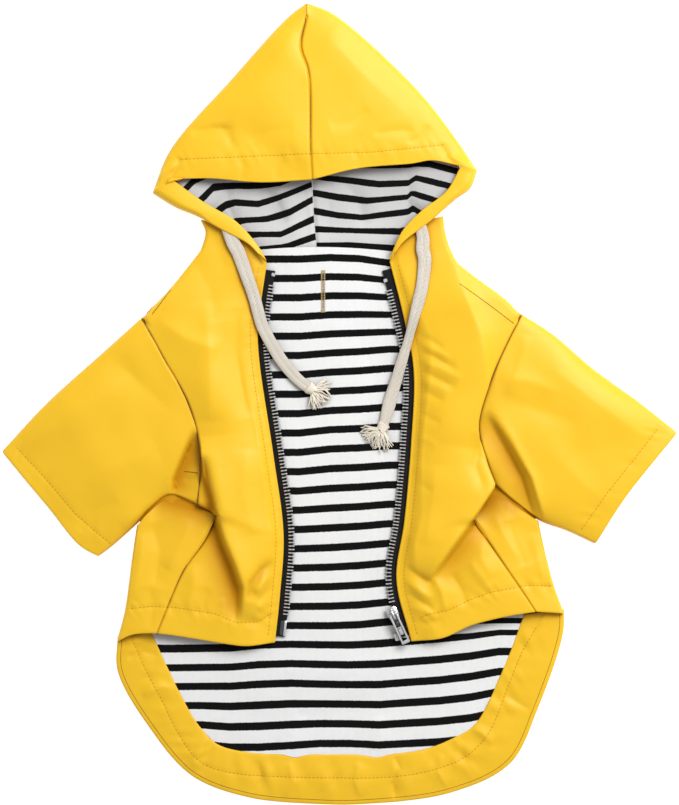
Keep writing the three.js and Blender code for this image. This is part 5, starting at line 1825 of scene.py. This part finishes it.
class RAINCOAT_OT_stage(bpy.types.Operator):
    """Camera straight above, pale table, a large soft light and the finishes"""

    bl_idname = "raincoat.stage"
    bl_label = "Stage and finishes"

    def execute(self, context):
        scene = context.scene
        stage = scene.raincoat_stage
        picture_height, millimetres_a_pixel = 805, 0.65
        sensor = 36
        distance = picture_height * millimetres_a_pixel * stage.focal / sensor
        camera = bpy.data.cameras.new("camera above")
        camera.lens = stage.focal
        camera.sensor_width = sensor
        camera.clip_end = 20
        eye = bpy.data.objects.new("camera above", camera)
        eye.location = (0, 0.0003, (distance + 5) * MM)
        scene.collection.objects.link(eye)
        scene.camera = eye
        scene.view_settings.view_transform = "Standard"

        bpy.ops.mesh.primitive_plane_add(size=6, location=(0, 0, -0.0006))
        floor = context.object
        floor.name = "table"
        white = Finish("pale table", stage.floor, 0.9)
        white.shader.inputs["Emission Color"].default_value = (1, 1, 1, 1)
        white.shader.inputs["Emission Strength"].default_value = 0.75
        floor.data.materials.append(white.material)

        key = bpy.data.lights.new("soft window", "AREA")
        key.shape = "RECTANGLE"
        key.size, key.size_y = 1.1, 0.9
        key.energy = stage.key_light
        lamp = bpy.data.objects.new("soft window", key)
        lamp.location = (0.75, 0.95, 1.35)
        lamp.rotation_euler = (Vector((0, 0, 0)) - Vector(lamp.location)).to_track_quat("-Z", "Y").to_euler()
        scene.collection.objects.link(lamp)
        world = bpy.data.worlds.new("studio")
        world.use_nodes = True
        world.node_tree.nodes["Background"].inputs["Color"].default_value = (1, 1, 1, 1)
        world.node_tree.nodes["Background"].inputs["Strength"].default_value = 0.40
        scene.world = world

        coated_cloth(scene.raincoat_shell)
        striped_jersey(scene.raincoat_jersey)
        thread_finish("yellow thread", scene.raincoat_shell.thread)
        # Dark brown that paints the shade of the seams and of the buttonhole's slit.
        thread_finish("painted seam shade", (0.16, 0.06, 0.002))
        thread_finish("gold thread", (0.62, 0.48, 0.24))
        braided_cotton(scene.raincoat_cord)
        cotton_yarn(scene.raincoat_cord)
        zip_tape_weave(scene.raincoat_zip)
        zip_metal("zip metal", scene.raincoat_zip.metal, 0.75)
        # A dark copy of the metal, which paints shade into the pull tab's recess.
        zip_metal("painted shade zip metal", [c * 0.12 for c in scene.raincoat_zip.metal], 0.75)
        tape_film(scene.raincoat_zip)
        return {"FINISHED"}


class RAINCOAT_OT_drawstring(bpy.types.Operator):
    """Both visible ends of the drawstring with their frayed knots"""

    bl_idname = "raincoat.drawstring"
    bl_label = "Drawstring"

    def execute(self, context):
        for side in CORD_ROUTES:
            make_drawstring(side, context.scene.raincoat_cord)
        return {"FINISHED"}


class RAINCOAT_OT_back(bpy.types.Operator):
    """Back panel and the cloth round its side folds"""

    bl_idname = "raincoat.back"
    bl_label = "Back panel"

    def execute(self, context):
        make_back(context.scene.raincoat_shell)
        make_side_wraps(context.scene.raincoat_shell)
        return {"FINISHED"}


class RAINCOAT_OT_fronts(bpy.types.Operator):
    """Left and right front"""

    bl_idname = "raincoat.fronts"
    bl_label = "Fronts"

    def execute(self, context):
        make_fronts(context.scene.raincoat_shell)
        return {"FINISHED"}


class RAINCOAT_OT_sleeves(bpy.types.Operator):
    """Left and right sleeve, with the cloth in the underarms"""

    bl_idname = "raincoat.sleeves"
    bl_label = "Sleeves"

    def execute(self, context):
        make_sleeves(context.scene.raincoat_shell)
        make_underarms(context.scene.raincoat_shell)
        return {"FINISHED"}


class RAINCOAT_OT_hood(bpy.types.Operator):
    """Hood sides with their turned-out cheek bands"""

    bl_idname = "raincoat.hood"
    bl_label = "Hood"

    def execute(self, context):
        make_hood(context.scene.raincoat_shell)
        return {"FINISHED"}


class RAINCOAT_OT_lining(bpy.types.Operator):
    """Striped jersey lining of body and hood, and the tail facing"""

    bl_idname = "raincoat.lining"
    bl_label = "Lining and facing"

    def execute(self, context):
        make_back_lining(context.scene.raincoat_shell)
        make_hood_lining(context.scene.raincoat_shell)
        make_facing(context.scene.raincoat_shell)
        return {"FINISHED"}


class RAINCOAT_OT_zip(bpy.types.Operator):
    """Zip tapes, teeth, stops, pin, box, slider and pull tab"""

    bl_idname = "raincoat.zip"
    bl_label = "Zip"

    def execute(self, context):
        zipper = context.scene.raincoat_zip
        make_zip_tapes(zipper)
        make_zip_teeth(zipper)
        make_zip_ends(zipper)
        make_slider(zipper)
        make_pull_tab(zipper)
        return {"FINISHED"}


class RAINCOAT_OT_sewing(bpy.types.Operator):
    """Rows of stitches and the leash buttonhole"""

    bl_idname = "raincoat.sewing"
    bl_label = "Sewing"

    def execute(self, context):
        make_stitching(context.scene.raincoat_shell)
        make_seam_lines(context.scene.raincoat_shell)
        make_leash_buttonhole()
        return {"FINISHED"}


PIECE_OPERATORS = (
    RAINCOAT_OT_stage,
    RAINCOAT_OT_drawstring,
    RAINCOAT_OT_back,
    RAINCOAT_OT_fronts,
    RAINCOAT_OT_sleeves,
    RAINCOAT_OT_hood,
    RAINCOAT_OT_lining,
    RAINCOAT_OT_zip,
    RAINCOAT_OT_sewing,
)
SETTINGS = {
    "raincoat_shell": ShellSettings,
    "raincoat_jersey": JerseySettings,
    "raincoat_zip": ZipSettings,
    "raincoat_cord": CordSettings,
    "raincoat_stage": StageSettings,
}


class RAINCOAT_PT_panel(bpy.types.Panel):
    """Sizes, colours and the steps of making the raincoat"""

    bl_idname = "RAINCOAT_PT_panel"
    bl_label = "Dog raincoat"
    bl_space_type = "VIEW_3D"
    bl_region_type = "UI"
    bl_category = "Raincoat"

    def draw(self, context):
        layout = self.layout
        for key, group in SETTINGS.items():
            box = layout.box()
            for name in group.__annotations__:
                box.prop(getattr(context.scene, key), name)
        for operator in PIECE_OPERATORS:
            layout.operator(operator.bl_idname)


CLASSES = (*SETTINGS.values(), *PIECE_OPERATORS, RAINCOAT_PT_panel)


def register():
    for kind in CLASSES:
        bpy.utils.register_class(kind)
    for key, group in SETTINGS.items():
        setattr(bpy.types.Scene, key, bpy.props.PointerProperty(type=group))


def unregister():
    for key in SETTINGS:
        delattr(bpy.types.Scene, key)
    for kind in reversed(CLASSES):
        bpy.utils.unregister_class(kind)


def main():
    register()
    bpy.ops.raincoat.stage()
    bpy.ops.raincoat.drawstring()
    bpy.ops.raincoat.back()
    bpy.ops.raincoat.fronts()
    bpy.ops.raincoat.sleeves()
    bpy.ops.raincoat.hood()
    bpy.ops.raincoat.lining()
    bpy.ops.raincoat.zip()
    bpy.ops.raincoat.sewing()


if __name__ == "__main__":
    main()
